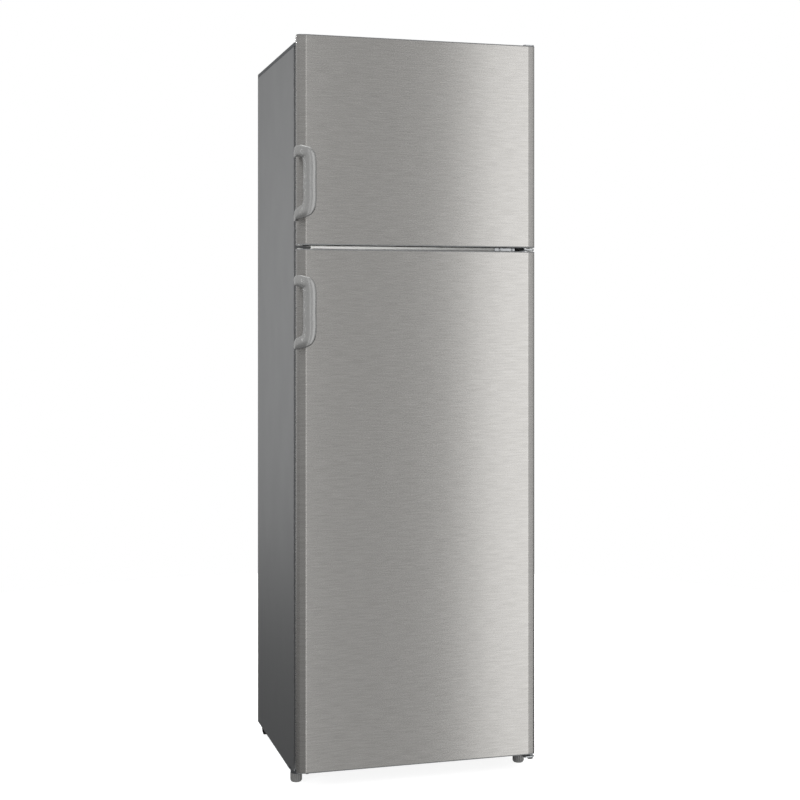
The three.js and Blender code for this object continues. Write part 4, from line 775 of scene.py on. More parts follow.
def bow_handle(node):
    """The handle of one door, centred on its CAD node's height."""
    low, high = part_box(node)
    middle = (low.z + high.z) / 2
    bar_u = (
        HANDLE["foot_back"] + HANDLE["reach"] - HANDLE["bend"] + HANDLE["bend"] * 1.5
        + HANDLE["bar_shift"]
    )
    sides, stations = 28, 110
    bm = bmesh.new()
    rings = []
    for point, along in handle_route(bar_u, stations):
        share = smoothstep(point.x, bar_u * 0.35, bar_u * 0.95)
        half_width = (HANDLE["arm_width"] * (1 - share) + HANDLE["bar_width"] * share) / 2
        thick = 4 + 7 * share
        ring = []
        for k in range(sides):
            a = 2 * math.pi * k / sides
            c, s = math.cos(a), math.sin(a)
            across = c * (half_width - 0.15)
            lift = thick / 2 + s * (thick / 2 - 0.1)
            plan = on_handle_sheet(max(0.0, point.x - along.y * across), lift)
            z = middle + (point.y + along.x * across) * MM
            ring.append(
                bm.verts.new((door_middle + plan.x * MM, door_front + plan.y * MM, z))
            )
        rings.append(ring)
    for a, b in zip(rings, rings[1:]):
        for k in range(sides):
            j = (k + 1) % sides
            bm.faces.new((a[k], a[j], b[j], b[k]))
    bm.faces.new(rings[0])
    bm.faces.new(rings[-1][::-1])
    mesh = mesh_from(bm, node + "_moulding")
    place(node + "_moulding", mesh, node_body[node], "handle_plastic", node, angle=60)
    heights = [v.co.z for v in mesh.vertices]
    print(node, "height mm", round((max(heights) - min(heights)) / MM, 1))


bow_handle("freezer_door_handle")
bow_handle("fridge_door_handle")

# %% [markdown]
# ## Geometry Nodes for what repeats
# Screws, condenser wires, ribs and knurls are all one small shape copied by a rule. Geometry
# Nodes state such a rule once: a tree with named sizes, run on points that say where. Each run
# is turned into a plain mesh straight away, because a finished piece has to ride on its body and
# be exported without any live tree.

# %% A tree with named sizes, and running it once
def start_tree(name, **sizes):
    """An empty tree with points and named sizes as inputs, and the outputs of its input node."""
    tree = bpy.data.node_groups.new(name, "GeometryNodeTree")
    face = tree.interface
    face.new_socket("Points", in_out="INPUT", socket_type="NodeSocketGeometry")
    for label, value in sizes.items():
        kinds = {int: "NodeSocketInt", float: "NodeSocketFloat", tuple: "NodeSocketVector"}
        socket = face.new_socket(label, in_out="INPUT", socket_type=kinds[type(value)])
        socket.default_value = value
    face.new_socket("Geometry", in_out="OUTPUT", socket_type="NodeSocketGeometry")
    return tree, add_node(tree, "NodeGroupInput").outputs


def end_tree(tree, geometry, finish):
    """Every tree ends by making its copies real and giving them their finish."""
    real = add_node(tree, "GeometryNodeRealizeInstances", {0: geometry})
    dressed = add_node(tree, "GeometryNodeSetMaterial", {"Geometry": real.outputs[0]})
    dressed.inputs["Material"].default_value = finish
    add_node(tree, "NodeGroupOutput", {0: dressed.outputs[0]})


def run_tree(tree, name, points=(), edges=(), **sizes):
    """The tree's result on these points, as a plain mesh."""
    seeds = bpy.data.meshes.new(name + "_points")
    seeds.from_pydata([tuple(p) for p in points] or [(0, 0, 0)], list(edges), [])
    maker = bpy.data.objects.new(name + "_maker", seeds)
    scene.collection.objects.link(maker)
    modifier = maker.modifiers.new("grow", "NODES")
    modifier.node_group = tree
    for item in tree.interface.items_tree:
        if item.in_out == "INPUT" and item.name in sizes:
            modifier[item.identifier] = sizes[item.name]
    grown = maker.evaluated_get(bpy.context.evaluated_depsgraph_get())
    mesh = bpy.data.meshes.new_from_object(grown)
    mesh.name = name
    bpy.data.objects.remove(maker)
    return mesh


# %% [markdown]
# ### Screws
# A screw head is a low dome with a cross recess. It is a cone frustum with two crossed slots cut
# out of it by a boolean, then stood on every point with its axis along the given direction.

# %% The tree of a cross-recess screw
screw_tree, sizes = start_tree(
    "cross_recess_screws", Radius=3.6 * MM, Height=2.0 * MM, Axis=(0.0, -1.0, 0.0)
)
dome = add_node(
    screw_tree, "GeometryNodeMeshCone",
    {
        "Vertices": 20, "Side Segments": 1, "Radius Bottom": sizes["Radius"],
        "Depth": sizes["Height"],
    },
)
crown = add_node(screw_tree, "ShaderNodeMath", {0: sizes["Radius"], 1: 0.72}, operation="MULTIPLY")
screw_tree.links.new(crown.outputs[0], dome.inputs["Radius Top"])
slots = []
for along, across in ((1.0, 0.24), (0.24, 1.0)):
    shape = add_node(screw_tree, "ShaderNodeCombineXYZ", {"X": along, "Y": across, "Z": 0.9})
    scaled = add_node(
        screw_tree, "ShaderNodeVectorMath", {0: shape.outputs[0], "Scale": sizes["Radius"]},
        operation="SCALE",
    )
    slot_box = add_node(screw_tree, "GeometryNodeMeshCube", {"Size": scaled.outputs[0]})
    lifted = add_node(screw_tree, "ShaderNodeCombineXYZ", {"Z": sizes["Height"]})
    slots.append(
        add_node(
            screw_tree, "GeometryNodeTransform",
            {"Geometry": slot_box.outputs[0], "Translation": lifted.outputs[0]},
        ).outputs[0]
    )
cut = add_node(screw_tree, "GeometryNodeMeshBoolean", {"Mesh 1": dome.outputs[0]})
for one in slots:
    screw_tree.links.new(one, cut.inputs["Mesh 2"])
turned = add_node(
    screw_tree, "FunctionNodeAlignRotationToVector", {"Vector": sizes["Axis"]}, axis="Z"
)
heads = add_node(
    screw_tree, "GeometryNodeInstanceOnPoints",
    {"Points": sizes["Points"], "Instance": cut.outputs[0], "Rotation": turned.outputs[0]},
)
end_tree(screw_tree, heads.outputs[0], zinc_steel)


def screws(name, body, axis, points, radius_mm=3.6):
    """Screw heads of one group, standing on the given points."""
    mesh = run_tree(
        screw_tree, name, points, Axis=axis, Radius=radius_mm * MM, Height=0.55 * radius_mm * MM
    )
    return place(name, mesh, body, "zinc_steel", angle=25)


CABINET_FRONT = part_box("mullion_rail")[0].y
CABINET_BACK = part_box("back_panel")[1].y
hinge_low, hinge_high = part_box("middle_hinge")
flange_face = hinge_high.y - 2.5 * MM - 0.3 * MM
row = [hinge_low.x + 12 * MM, hinge_low.x + 30 * MM]
mullion_z = (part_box("freezer_door_bottom_cap")[0].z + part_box("fridge_door_top_cap")[1].z) / 2
screws(
    "middle_hinge_screws", "cabinet", (0.0, -1.0, 0.0),
    [(x, flange_face, mullion_z + dz * MM) for x in row for dz in (-7, 7)], 3.4,
)
top_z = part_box("top_hinge")[0].z + 3 * MM
hinge_x = (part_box("top_hinge")[0].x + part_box("top_hinge")[1].x) / 2
screws(
    "top_hinge_screws", "cabinet", (0.0, 0.0, 1.0),
    [
        (hinge_x + dx * MM, CABINET_FRONT + dy * MM, top_z)
        for dx, dy in ((-12, 28), (10, 28), (-1, 52))
    ],
    3.4,
)
back_low, back_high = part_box("back_panel")
rows = [back_low.z + 40 * MM + i * (back_high.z - back_low.z - 80 * MM) / 5 for i in range(6)]
screws(
    "back_panel_screws", "cabinet", (0.0, 1.0, 0.0),
    [(x, CABINET_BACK, z) for x in (back_low.x + 8 * MM, back_high.x - 8 * MM) for z in rows] + [
        (back_low.x + k * (back_high.x - back_low.x) / 4, CABINET_BACK, back_high.z - 10 * MM)
        for k in (1, 2, 3)
    ],
)
base_low, base_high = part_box("base_plate")
screws(
    "base_plate_screws", "cabinet", (0.0, 1.0, 0.0),
    [(x, base_high.y, base_low.z + 8 * MM) for x in (base_low.x + 24 * MM, base_high.x - 24 * MM)],
)
print("screw groups 4")

# %% [markdown]
# ### Tubes
# The cooling circuit is drawn tube bent on a former: its centre line is straight runs joined by
# arcs. A tree sweeps a circle along a line of edges; the line itself comes from the rule that
# the real serpentine follows.

# %% The tree of a bent tube, and the rounded route it follows
tube_tree, sizes = start_tree("bent_tube", Radius=2.4 * MM, Sides=12)
line = add_node(tube_tree, "GeometryNodeMeshToCurve", {"Mesh": sizes["Points"]})
ring = add_node(
    tube_tree, "GeometryNodeCurvePrimitiveCircle",
    {"Resolution": sizes["Sides"], "Radius": sizes["Radius"]},
)
swept = add_node(
    tube_tree, "GeometryNodeCurveToMesh",
    {"Curve": line.outputs[0], "Profile Curve": ring.outputs[0], "Fill Caps": True},
)
end_tree(tube_tree, swept.outputs[0], copper)


def rounded_route(corners, radius, steps=6):
    """Points of a route in metres with each inner corner rounded; corners and radius in metres."""
    corners = [Vector(c) for c in corners]
    points = [corners[0]]
    for a, here, b in zip(corners, corners[1:], corners[2:]):
        before, after = (a - here).normalized(), (b - here).normalized()
        half = before.angle(after) / 2
        centre = here + (before + after).normalized() * (radius / math.sin(half))
        start = here + before * (radius / math.tan(half)) - centre
        end = here + after * (radius / math.tan(half)) - centre
        axis = start.cross(end).normalized()
        turn = math.pi - 2 * half
        points += [
            centre + Matrix.Rotation(turn * k / steps, 3, axis) @ start
            for k in range(steps + 1)
        ]
    return points + [corners[-1]]


def bent_tube(name, route, radius_mm, slot, *nodes, sides=12):
    """A tube of the cabinet's circuit along a route of points in metres."""
    edges = [(i, i + 1) for i in range(len(route) - 1)]
    mesh = run_tree(tube_tree, name, route, edges, Radius=radius_mm * MM, Sides=sides)
    mesh.materials.clear()
    return place(name, mesh, "cabinet", slot, *nodes, angle=60)


# %% [markdown]
# ## The condenser
# Heat leaves through a black serpentine of steel tube with thin wires welded across it, front
# and back, as cooling fins: nineteen passes, and a wire every eight millimetres. The serpentine
# is one line by rule; the wires are one thin rod, copied along a row by a tree.

# %% Serpentine tube
coil_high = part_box("condenser_coil")[1]
COIL_RADIUS = 2.4
COIL_PASSES = 19
coil_y = coil_high.y - COIL_RADIUS * MM
coil_top = coil_high.z - COIL_RADIUS * MM
cabinet_middle = (back_low.x + back_high.x) / 2
COIL_HALF = 232 * MM
COIL_BEND = 14 * MM
LEAD_PAST, LEAD_DROP, LEAD_IN = 8 * MM, 130 * MM, 70 * MM
coil_bottom = 296 * MM
pitch = (coil_top - coil_bottom) / (COIL_PASSES - 1)
lead_x = cabinet_middle - COIL_HALF - LEAD_PAST
serpentine = [
    (lead_x, coil_y - LEAD_IN, coil_bottom - LEAD_DROP),
    (lead_x, coil_y, coil_bottom - LEAD_DROP),
    (lead_x, coil_y, coil_bottom),
]
run = rounded_route([*serpentine, (cabinet_middle, coil_y, coil_bottom)], COIL_BEND)[:-1]
reach = COIL_HALF - pitch / 2
for i in range(COIL_PASSES):
    z = coil_bottom + i * pitch
    side = 1 if i % 2 == 0 else -1
    if i:
        run.append(Vector((cabinet_middle - side * reach, coil_y, z)))
    run.append(Vector((cabinet_middle + side * reach, coil_y, z)))
    if i + 1 < COIL_PASSES:
        for k in range(1, 10):
            a = -math.pi / 2 + math.pi * k / 10
            run.append(
                Vector((
                    cabinet_middle + side * (reach + pitch / 2 * math.cos(a)), coil_y,
                    z + pitch / 2 + pitch / 2 * math.sin(a),
                ))
            )
bent_tube("condenser_serpentine", run, COIL_RADIUS, "black_steel", "condenser_coil")
print("serpentine points", len(run), "pitch mm", round(pitch / MM, 1))

# %% Cooling wires welded across it
wire_tree, sizes = start_tree("cooling_wires", Radius=0.8 * MM, Length=1.3, Count=10, Pitch=8 * MM)
rod = add_node(
    wire_tree, "GeometryNodeMeshCylinder",
    {"Vertices": 6, "Radius": sizes["Radius"], "Depth": sizes["Length"]},
)
step = add_node(wire_tree, "ShaderNodeCombineXYZ", {"X": sizes["Pitch"]})
row_of = add_node(
    wire_tree, "GeometryNodeMeshLine", {"Count": sizes["Count"], "Offset": step.outputs[0]}
)
wires = add_node(
    wire_tree, "GeometryNodeInstanceOnPoints",
    {"Points": row_of.outputs[0], "Instance": rod.outputs[0]},
)
rows_on = add_node(
    wire_tree, "GeometryNodeInstanceOnPoints",
    {"Points": sizes["Points"], "Instance": wires.outputs[0]},
)
end_tree(wire_tree, rows_on.outputs[0], black_steel)

rail_left, rail_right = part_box("condenser_rail_left"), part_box("condenser_rail_right")
WIRE_PITCH = 8 * MM
wire_middle = (coil_bottom + coil_top) / 2
WIRE_PAST = 8 * MM
RAIL_GAP = 4 * MM
wire_length = coil_top - coil_bottom + 2 * WIRE_PAST
spans = [
    (cabinet_middle - reach, rail_left[0].x - RAIL_GAP),
    (rail_left[1].x + RAIL_GAP, rail_right[0].x - RAIL_GAP),
    (rail_right[1].x + RAIL_GAP, cabinet_middle + reach),
]
wire_count = 0
for number, (x0, x1) in enumerate(spans):
    count = int((x1 - x0) / WIRE_PITCH) + 1
    first = (x0 + x1 - (count - 1) * WIRE_PITCH) / 2
    gap = (COIL_RADIUS + 0.75) * MM
    mesh = run_tree(
        wire_tree, f"condenser_wires_{number}",
        [(first, coil_y + s * gap, wire_middle) for s in (-1, 1)], Length=wire_length,
        Count=count, Pitch=WIRE_PITCH,
    )
    place(f"condenser_wires_{number}", mesh, "cabinet", "black_steel", angle=40)
    wire_count += 2 * count
print("cooling wires", wire_count)

# %% [markdown]
# ## Turned pieces
# Feet, rollers, the compressor's pot and the filter are round about an axis: a profile in radius
# and height, spun. One helper spins a profile about an upright or a sideways axis, closes its
# poles and recalculates the normals, because a spin can turn a shape inside out.

# %% Spin a profile
def turned_piece(
    name, profile, centre, body, slot, *nodes, axis="Z", steps=64, oval=1.0, angle=32
):
    """A profile of (radius, height) in mm spun about an axis through a point in metres."""
    bm = bmesh.new()
    rings = []
    for radius, height in profile:
        ring = []
        for k in range(steps if radius > 1e-6 else 1):
            a = 2 * math.pi * k / steps
            u, v = radius * math.cos(a) * oval, radius * math.sin(a)
            point = {"Z": (u, v, height), "X": (height, u, v), "Y": (u, height, v)}[axis]
            ring.append(bm.verts.new(Vector(point) * MM + Vector(centre)))
        rings.append(ring)
    for a, b in zip(rings, rings[1:]):
        for k in range(steps):
            j = (k + 1) % steps
            corner = [a[k % len(a)], a[j % len(a)], b[j % len(b)], b[k % len(b)]]
            face = [v for i, v in enumerate(corner) if v not in corner[:i]]
            if len(face) > 2:
                bm.faces.new(face)
    return place(name, mesh_from(bm, name), body, slot, *nodes, angle=angle)


# %% [markdown]
# ## Levelling feet
# Each front foot is a grey plastic thimble on a threaded stud, with ribs round it so that it can
# be turned by hand, and a dark collar above. The collar is a real part, set low so that its dark
# band also stands in for the shadow under the door's edge: partly real, partly painted shade. The
# ribs are one small bar copied round a circle by a tree; the thread is a fine zigzag in the stud's
# profile. A dark skid closes the notch of the cabinet's side behind each foot.

# %% Ribbed feet on threaded studs
rib_tree, sizes = start_tree(
    "ribs_round_a_foot", Radius=12.7 * MM, Height=14.0 * MM, Count=16, Width=2.6 * MM
)
circle = add_node(
    rib_tree, "GeometryNodeMeshCircle", {"Vertices": sizes["Count"], "Radius": sizes["Radius"]}
)
where = add_node(rib_tree, "GeometryNodeInputPosition")
facing = add_node(
    rib_tree, "FunctionNodeAlignRotationToVector", {"Vector": where.outputs[0]}, axis="X"
)
bar_size = add_node(
    rib_tree, "ShaderNodeCombineXYZ",
    {"X": sizes["Width"], "Y": sizes["Width"], "Z": sizes["Height"]},
)
bar = add_node(rib_tree, "GeometryNodeMeshCube", {"Size": bar_size.outputs[0]})
ribs = add_node(
    rib_tree, "GeometryNodeInstanceOnPoints",
    {"Points": circle.outputs[0], "Instance": bar.outputs[0], "Rotation": facing.outputs[0]},
)
round_it = add_node(
    rib_tree, "GeometryNodeInstanceOnPoints",
    {"Points": sizes["Points"], "Instance": ribs.outputs[0]},
)
end_tree(rib_tree, round_it.outputs[0], foot_plastic)

for side in ("left", "right"):
    low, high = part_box("front_foot_" + side)
    centre = ((low.x + high.x) / 2, (low.y + high.y) / 2, 0)
    body = "foot_" + side
    thimble = [
        (0, 0), (10.6, 0), (11.6, 0.5), (13.4, 3.0), (13.4, 4.2), (12.4, 4.8), (12.4, 17.8),
        (13.6, 18.6), (14.0, 19.4), (13.4, 20.2), (12.0, 20.4), (0, 20.4),
    ]
    turned_piece(
        f"foot_thimble_{side}", thimble, centre, body, "foot_plastic", "front_foot_" + side,
        angle=40,
    )
    mesh = run_tree(rib_tree, f"foot_ribs_{side}", [(centre[0], centre[1], 11.2 * MM)])
    place(f"foot_ribs_{side}", mesh, body, "foot_plastic", bevel_mm=0.3)
    # the dark collar is a real part, set low under the door's edge so that its dark band also
    # paints the shadow the door casts there
    collar_with_shade_band = [
        (0, 20.4), (13.0, 20.4), (13.4, 20.8), (13.4, 28.0), (12.9, 28.5), (7.2, 28.6), (7, 32.7),
        (0, 32.7),
    ]
    turned_piece(f"foot_collar_shade_band_{side}", collar_with_shade_band, centre, body, "dark_plastic", angle=40)
    thread = [(0, 32.0)] + [(3.4 if k % 2 else 4.0, 32.0 + 0.5 * k) for k in range(40)] + [
        (0, 52.0),
    ]
    turned_piece(f"foot_stud_{side}", thread, centre, body, "zinc_steel", steps=24, angle=80)
SKID_LENGTHWISE = (14.6 * MM, 31.2 * MM)  # its two ends behind the foot's axis
SKID_WIDTH = 22 * MM
SKID_LIFT = 0.3 * MM
SKID_TOP = 28.4 * MM
EDGE_CLEARANCE = 0.4 * MM
skid_y = [centre[1] + along for along in SKID_LENGTHWISE]
for side, sign in (("left", -1), ("right", 1)):
    panel_low, panel_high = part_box(side + "_side_panel")
    edge_x = panel_low.x if sign < 0 else panel_high.x
    x0, x1 = sorted((edge_x - sign * EDGE_CLEARANCE, edge_x - sign * SKID_WIDTH))
    prism_piece(
        f"foot_skid_{side}", rounded_rectangle(x0, x1, *skid_y, 2 * MM, 8),
        panel_low.z + SKID_LIFT, SKID_TOP, "cabinet", "dark_plastic", 0.8,
    )
print("feet: 16 ribs each, a skid behind each foot")

# %% [markdown]
# ## Rear rollers
# Two nylon rollers carry the back. Each is a rim, a thin dished web and a hub on a steel axle;
# the real web has holes that save plastic and keep it from sinking as it cools, which are not
# drawn here.

# %% Rollers with a dished web
for side, sign in (("left", -1), ("right", 1)):
    low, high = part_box("rear_roller_" + side)
    centre = ((low.x + high.x) / 2, (low.y + high.y) / 2, (low.z + high.z) / 2)
    half = (high.x - low.x) / 2 / MM
    wheel = [
        (3.8, -half), (8.4, -half), (9.0, -half + 0.6), (9.4, -2.2), (16.6, -2.2),
        (17.4, -half + 0.6), (18.0, -half), (20.6, -half), (21.6, -half + 0.5),
        (22.0, -half + 1.8), (22.0, half - 1.8), (21.6, half - 0.5), (20.6, half), (18.0, half),
        (17.4, half - 0.6), (16.6, 2.2), (9.4, 2.2), (9.0, half - 0.6), (8.4, half), (3.8, half),
        (3.8, -half),
    ]
    turned_piece(
        f"roller_{side}_wheel", wheel, centre, f"roller_{side}", "roller_plastic",
        "rear_roller_" + side, axis="X", steps=72, angle=35,
    )
    head = [(0, 0.8), (2.2, 0.9), (4.4, 0.4), (5.2, -0.4), (5.2, -1.0), (0, -1.0)]
    outer_end = centre[0] + sign * (half + 0.9) * MM
    turned_piece(
        f"roller_{side}_axle_head", [(r, sign * h) for r, h in head], (outer_end, *centre[1:]),
        "cabinet", "zinc_steel", axis="X", steps=24, angle=30,
    )

# %% [markdown]
# ## The compressor and its circuit
# The compressor is a motor and pump sealed in a pot of deep-drawn steel: a lower shell, a welded
# seam where the lid is let in, and a domed lid, slightly oval in plan. It stands on a pressed
# foot plate over four rubber grommets. The filter is a copper cartridge with both ends spun down
# to the tube, and a copper suction tube returns the cold gas.

# %% Pot, foot plate, grommets and studs
low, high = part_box("compressor")
pot_x, pot_y, pot_z = (low.x + high.x) / 2, (low.y + high.y) / 2, low.z / MM + 4
OVAL = 1.22
pot = [
    (0, 0), (48, 0), (55, 2.6), (60, 7.5), (62.2, 14), (63.6, 60), (64, 72), (65, 74.2), (66.6, 75),
    (67, 76), (67, 80), (66.5, 81), (64.6, 81.6), (63.4, 83), (62.6, 96), (61.2, 109), (57.5, 121),
    (50.5, 131.5), (40, 139), (27, 143.8), (14, 146.2), (0, 147),
]
turned_piece(
    "compressor_pot", [(r, h + pot_z) for r, h in pot], (pot_x, pot_y, 0), "cabinet",
    "black_steel", "compressor", steps=80, oval=OVAL, angle=50,
)
plate_half, plate_depth = 97 * MM, 51 * MM
plate = rounded_rectangle(
    pot_x - plate_half, pot_x + plate_half, pot_y - plate_depth, pot_y + plate_depth, 14 * MM, 8
)
prism_piece(
    "compressor_foot_plate", plate, low.z, low.z + 3.5 * MM, "cabinet", "black_steel", 0.8,
)
grommet_tree, sizes = start_tree("grommets", Radius=11.0 * MM, Height=10.0 * MM)
sleeve = add_node(
    grommet_tree, "GeometryNodeMeshCylinder",
    {"Vertices": 32, "Radius": sizes["Radius"], "Depth": sizes["Height"]},
)
waist = add_node(
    grommet_tree, "ShaderNodeMath", {0: sizes["Radius"], 1: 0.62}, operation="MULTIPLY"
)
tall = add_node(grommet_tree, "ShaderNodeMath", {0: sizes["Height"], 1: 1.7}, operation="MULTIPLY")
neck = add_node(
    grommet_tree, "GeometryNodeMeshCylinder",
    {"Vertices": 32, "Radius": waist.outputs[0], "Depth": tall.outputs[0]},
)
both = add_node(grommet_tree, "GeometryNodeJoinGeometry")
grommet_tree.links.new(sleeve.outputs[0], both.inputs[0])
grommet_tree.links.new(neck.outputs[0], both.inputs[0])
four = add_node(
    grommet_tree, "GeometryNodeInstanceOnPoints",
    {"Points": sizes["Points"], "Instance": both.outputs[0]},
)
end_tree(grommet_tree, four.outputs[0], rubber)
legs = [
    (pot_x + sx * 82 * MM, pot_y + sy * 37 * MM, low.z - 2.5 * MM)
    for sx in (-1, 1) for sy in (-1, 1)
]
mesh = run_tree(grommet_tree, "compressor_grommets", legs, Height=4.6 * MM)
place("compressor_grommets", mesh, "cabinet", "roller_plastic", bevel_mm=0.6)
screws(
    "compressor_studs", "cabinet", (0.0, 0.0, 1.0),
    [(x, y, low.z + 3.6 * MM) for x, y, _ in legs], 5.0,
)

# %% Filter, capillary and suction tube
low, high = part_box("filter_drier")
middle = ((low.x + high.x) / 2, (low.y + high.y) / 2, 0)
cartridge = [
    (0, 60), (2.2, 60), (2.2, 73), (2.9, 75), (5.2, 78), (8.0, 82), (9.2, 85.5), (9.5, 88),
    (9.5, 103), (9.1, 104), (9.1, 105), (9.5, 106), (9.5, 168), (9.2, 170.5), (8.0, 174),
    (5.2, 178), (2.9, 181), (2.2, 183), (2.2, 196), (0, 196),
]
turned_piece(
    "filter_cartridge", cartridge, middle, "cabinet", "copper", "filter_drier", steps=48,
    angle=50,
)
low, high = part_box("suction_tube")
SUCTION_RADIUS = 3.1
SUCTION_BACK = 48 * MM  # how far behind the pot it climbs
tube_x = low.x + 3.2 * MM
bent_tube(
    "suction_copper_tube",
    rounded_route(
        [
            (pot_x - (64 * OVAL - 2) * MM, pot_y, (pot_z + 40) * MM),
            (tube_x, pot_y, (pot_z + 40) * MM), (tube_x, pot_y + SUCTION_BACK, (pot_z + 70) * MM),
            (tube_x, pot_y + SUCTION_BACK, high.z),
        ],
        12 * MM,
    ),
    SUCTION_RADIUS, "copper", "suction_tube", sides=16,
)
turns = [
    Vector((
        middle[0] - 26 * MM + 15 * MM * math.cos(a), middle[1] + 15 * MM * math.sin(a),
        (120 + 2.2 * a / math.pi) * MM,
    ))
    for a in (2 * math.pi * k / 20 for k in range(20 * 4 + 1))
]
bent_tube("capillary_coil", turns, 0.95, "copper", sides=8)

# %% [markdown]
# ## Sheets that cover the foam below
# Underneath and in the machine space the foam is closed by thin galvanised sheet. It follows the
# foam's own underside, so its section is four points, pushed from side to side.

# %% Underside and machine-space sheet
foam_low, foam_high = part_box("cabinet_foam")


def folded_sheet(name, section, x0, x1, thick, slot, body="cabinet", bevel_mm=0.0):
    """A sheet whose section (y, z) in metres is pushed from x0 to x1 and given a thickness."""
    bm = bmesh.new()
    lines = [[bm.verts.new((x, y, z)) for y, z in section] for x in (x0, x1)]
    for i in range(len(section) - 1):
        bm.faces.new((lines[0][i], lines[0][i + 1], lines[1][i + 1], lines[1][i]))
    piece = place(name, mesh_from(bm, name, outwards=False), body, slot)
    wall = piece.modifiers.new("thickness", "SOLIDIFY")
    wall.thickness, wall.offset = thick, 0.0
    if bevel_mm:
        edge = piece.modifiers.new("edge_radius", "BEVEL")
        edge.width, edge.segments, edge.limit_method = bevel_mm * MM, 2, "ANGLE"


MACHINE_DEPTH = 175 * MM
machine_front = CABINET_BACK - MACHINE_DEPTH
below = foam_low.z - 0.14 * MM
folded_sheet(
    "underside_sheet",
    [
        (foam_low.y + 1 * MM, below), (machine_front + 1.5 * MM, below),
        (machine_front + 16.5 * MM, 225.6 * MM), (foam_high.y - 1 * MM, 225.6 * MM),
    ],
    foam_low.x + 1 * MM, foam_high.x - 1 * MM, 0.2 * MM, "galvanised",
)

# %% [markdown]
# ## Nested loops
# Liners, gaskets, bins and trays are all the same idea: a rounded rectangle that changes size
# and level step by step, like the contour lines of a moulding. A section lists those steps, and
# one helper strings the loops together. The last loop may be filled, for a floor or a panel.

# %% Rounded loops strung into a moulding
def strung_loops(name, loops, upright, closed=False, fill=(False, False)):
    """Loops of (x0, x1, v0, v1, radius, level): upright ones lie across Y, flat ones across Z."""
    bm = bmesh.new()
    rings = []
    for x0, x1, v0, v1, radius, level in loops:
        ring = []
        for p in rounded_rectangle(x0, x1, v0, v1, radius):
            ring.append(bm.verts.new((p.x, level, p.y) if upright else (p.x, p.y, level)))
        rings.append(ring)
    pairs = list(zip(rings, rings[1:]))
    if closed:
        pairs.append((rings[-1], rings[0]))
    count = len(rings[0])
    for a, b in pairs:
        for k in range(count):
            j = (k + 1) % count
            bm.faces.new((a[k], a[j], b[j], b[k]))
    if fill[0]:
        bm.faces.new(rings[0])
    if fill[1]:
        bm.faces.new(rings[-1])
    return mesh_from(bm, name)


def shrunk(frame_box, by):
    """A rectangle (x0, x1, v0, v1) with every side moved in."""
    x0, x1, v0, v1 = frame_box
    return x0 + by, x1 - by, v0 + by, v1 - by


def solid_wall(piece, thick, offset):
    """Wall thickness for an open moulding; the offset says to which side it grows."""
    wall = piece.modifiers.new("wall", "SOLIDIFY")
    wall.thickness, wall.offset, wall.use_even_offset = thick, offset, True


# %% [markdown]
# ## Door liners
# The inside of a door is one vacuum-formed sheet: flat where the gasket sits, then a raised frame
# with drafted walls and round shoulders that reaches into the compartment, and a sunken panel
# inside it where the bins hang. Every radius is generous, because the sheet was stretched.

# %% Formed liners and their frames
# half width, low end and high end of each raised frame, in mm
RIDGES = {"freezer_door": (230, 1303.5, 1674.0), "fridge_door": (240, 88.0, 1215.5)}
for door, (ridge_half, ridge_low, ridge_high) in RIDGES.items():
    low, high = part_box(door + "_liner")
    middle = (low.x + high.x) / 2
    sheet_box = (low.x, high.x, low.z, high.z)
    ridge_box = (
        middle - ridge_half * MM, middle + ridge_half * MM, ridge_low * MM, ridge_high * MM,
    )
    level = low.y + 1.5 * MM
    top = high.y
    steps = [(-8, 16, 0), (-3, 14, 0.6), (-0.8, 13, 3), (0, 12, 7)]
    crest = [
        (1.5, 12, -8), (3.0, 12, -3.5), (5.5, 11, -1), (9, 10, 0), (13, 10, 0), (16.5, 9, -1),
        (19, 8, -3.5), (20.4, 8, -8),
    ]
    inner = [(22, 9, 7), (22.8, 9, 3), (25, 10, 0.6), (30, 14, 0)]
    loops = [(*sheet_box, 6 * MM, level)]
    loops += [(*shrunk(ridge_box, a * MM), r * MM, level + h * MM) for a, r, h in steps]
    loops += [(*shrunk(ridge_box, a * MM), r * MM, top + h * MM) for a, r, h in crest]
    loops += [(*shrunk(ridge_box, a * MM), r * MM, level + h * MM) for a, r, h in inner]
    panel = shrunk(ridge_box, 44 * MM)
    loops += [(*panel, 12 * MM, level), (*shrunk(panel, 3 * MM), 12 * MM, level + 1.6 * MM)]
    mesh = strung_loops(door + "_formed_liner", loops, True, fill=(False, True))
    piece = place(
        door + "_formed_liner", mesh, node_body[door + "_liner"], "white_liner", door + "_liner",
        angle=60,
    )
    facing_out = mesh.polygons[len(mesh.polygons) - 1].normal.y > 0
    solid_wall(piece, 1.3 * MM, -1.0 if facing_out else 1.0)
    print(door, "liner loops", len(loops))

FOAM_TUCK = 7 * MM
for door in RIDGES:
    tucked = rounded_copy(door + "_foam", 4.0, angle=35)
    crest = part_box(door + "_foam")[1].y
    for vertex in tucked.data.vertices:
        if vertex.co.y > crest - 1.5 * FOAM_TUCK:
            vertex.co.y -= FOAM_TUCK

# %% [markdown]
# ## Magnetic gaskets
# The gasket is an extruded strip of soft PVC: a dart held on the liner, a bellows that lets it
# stretch, and a tube with a magnet strip that snaps onto the steel. Four lengths are mitred and
# welded into a frame, so its section simply runs round a rectangle.

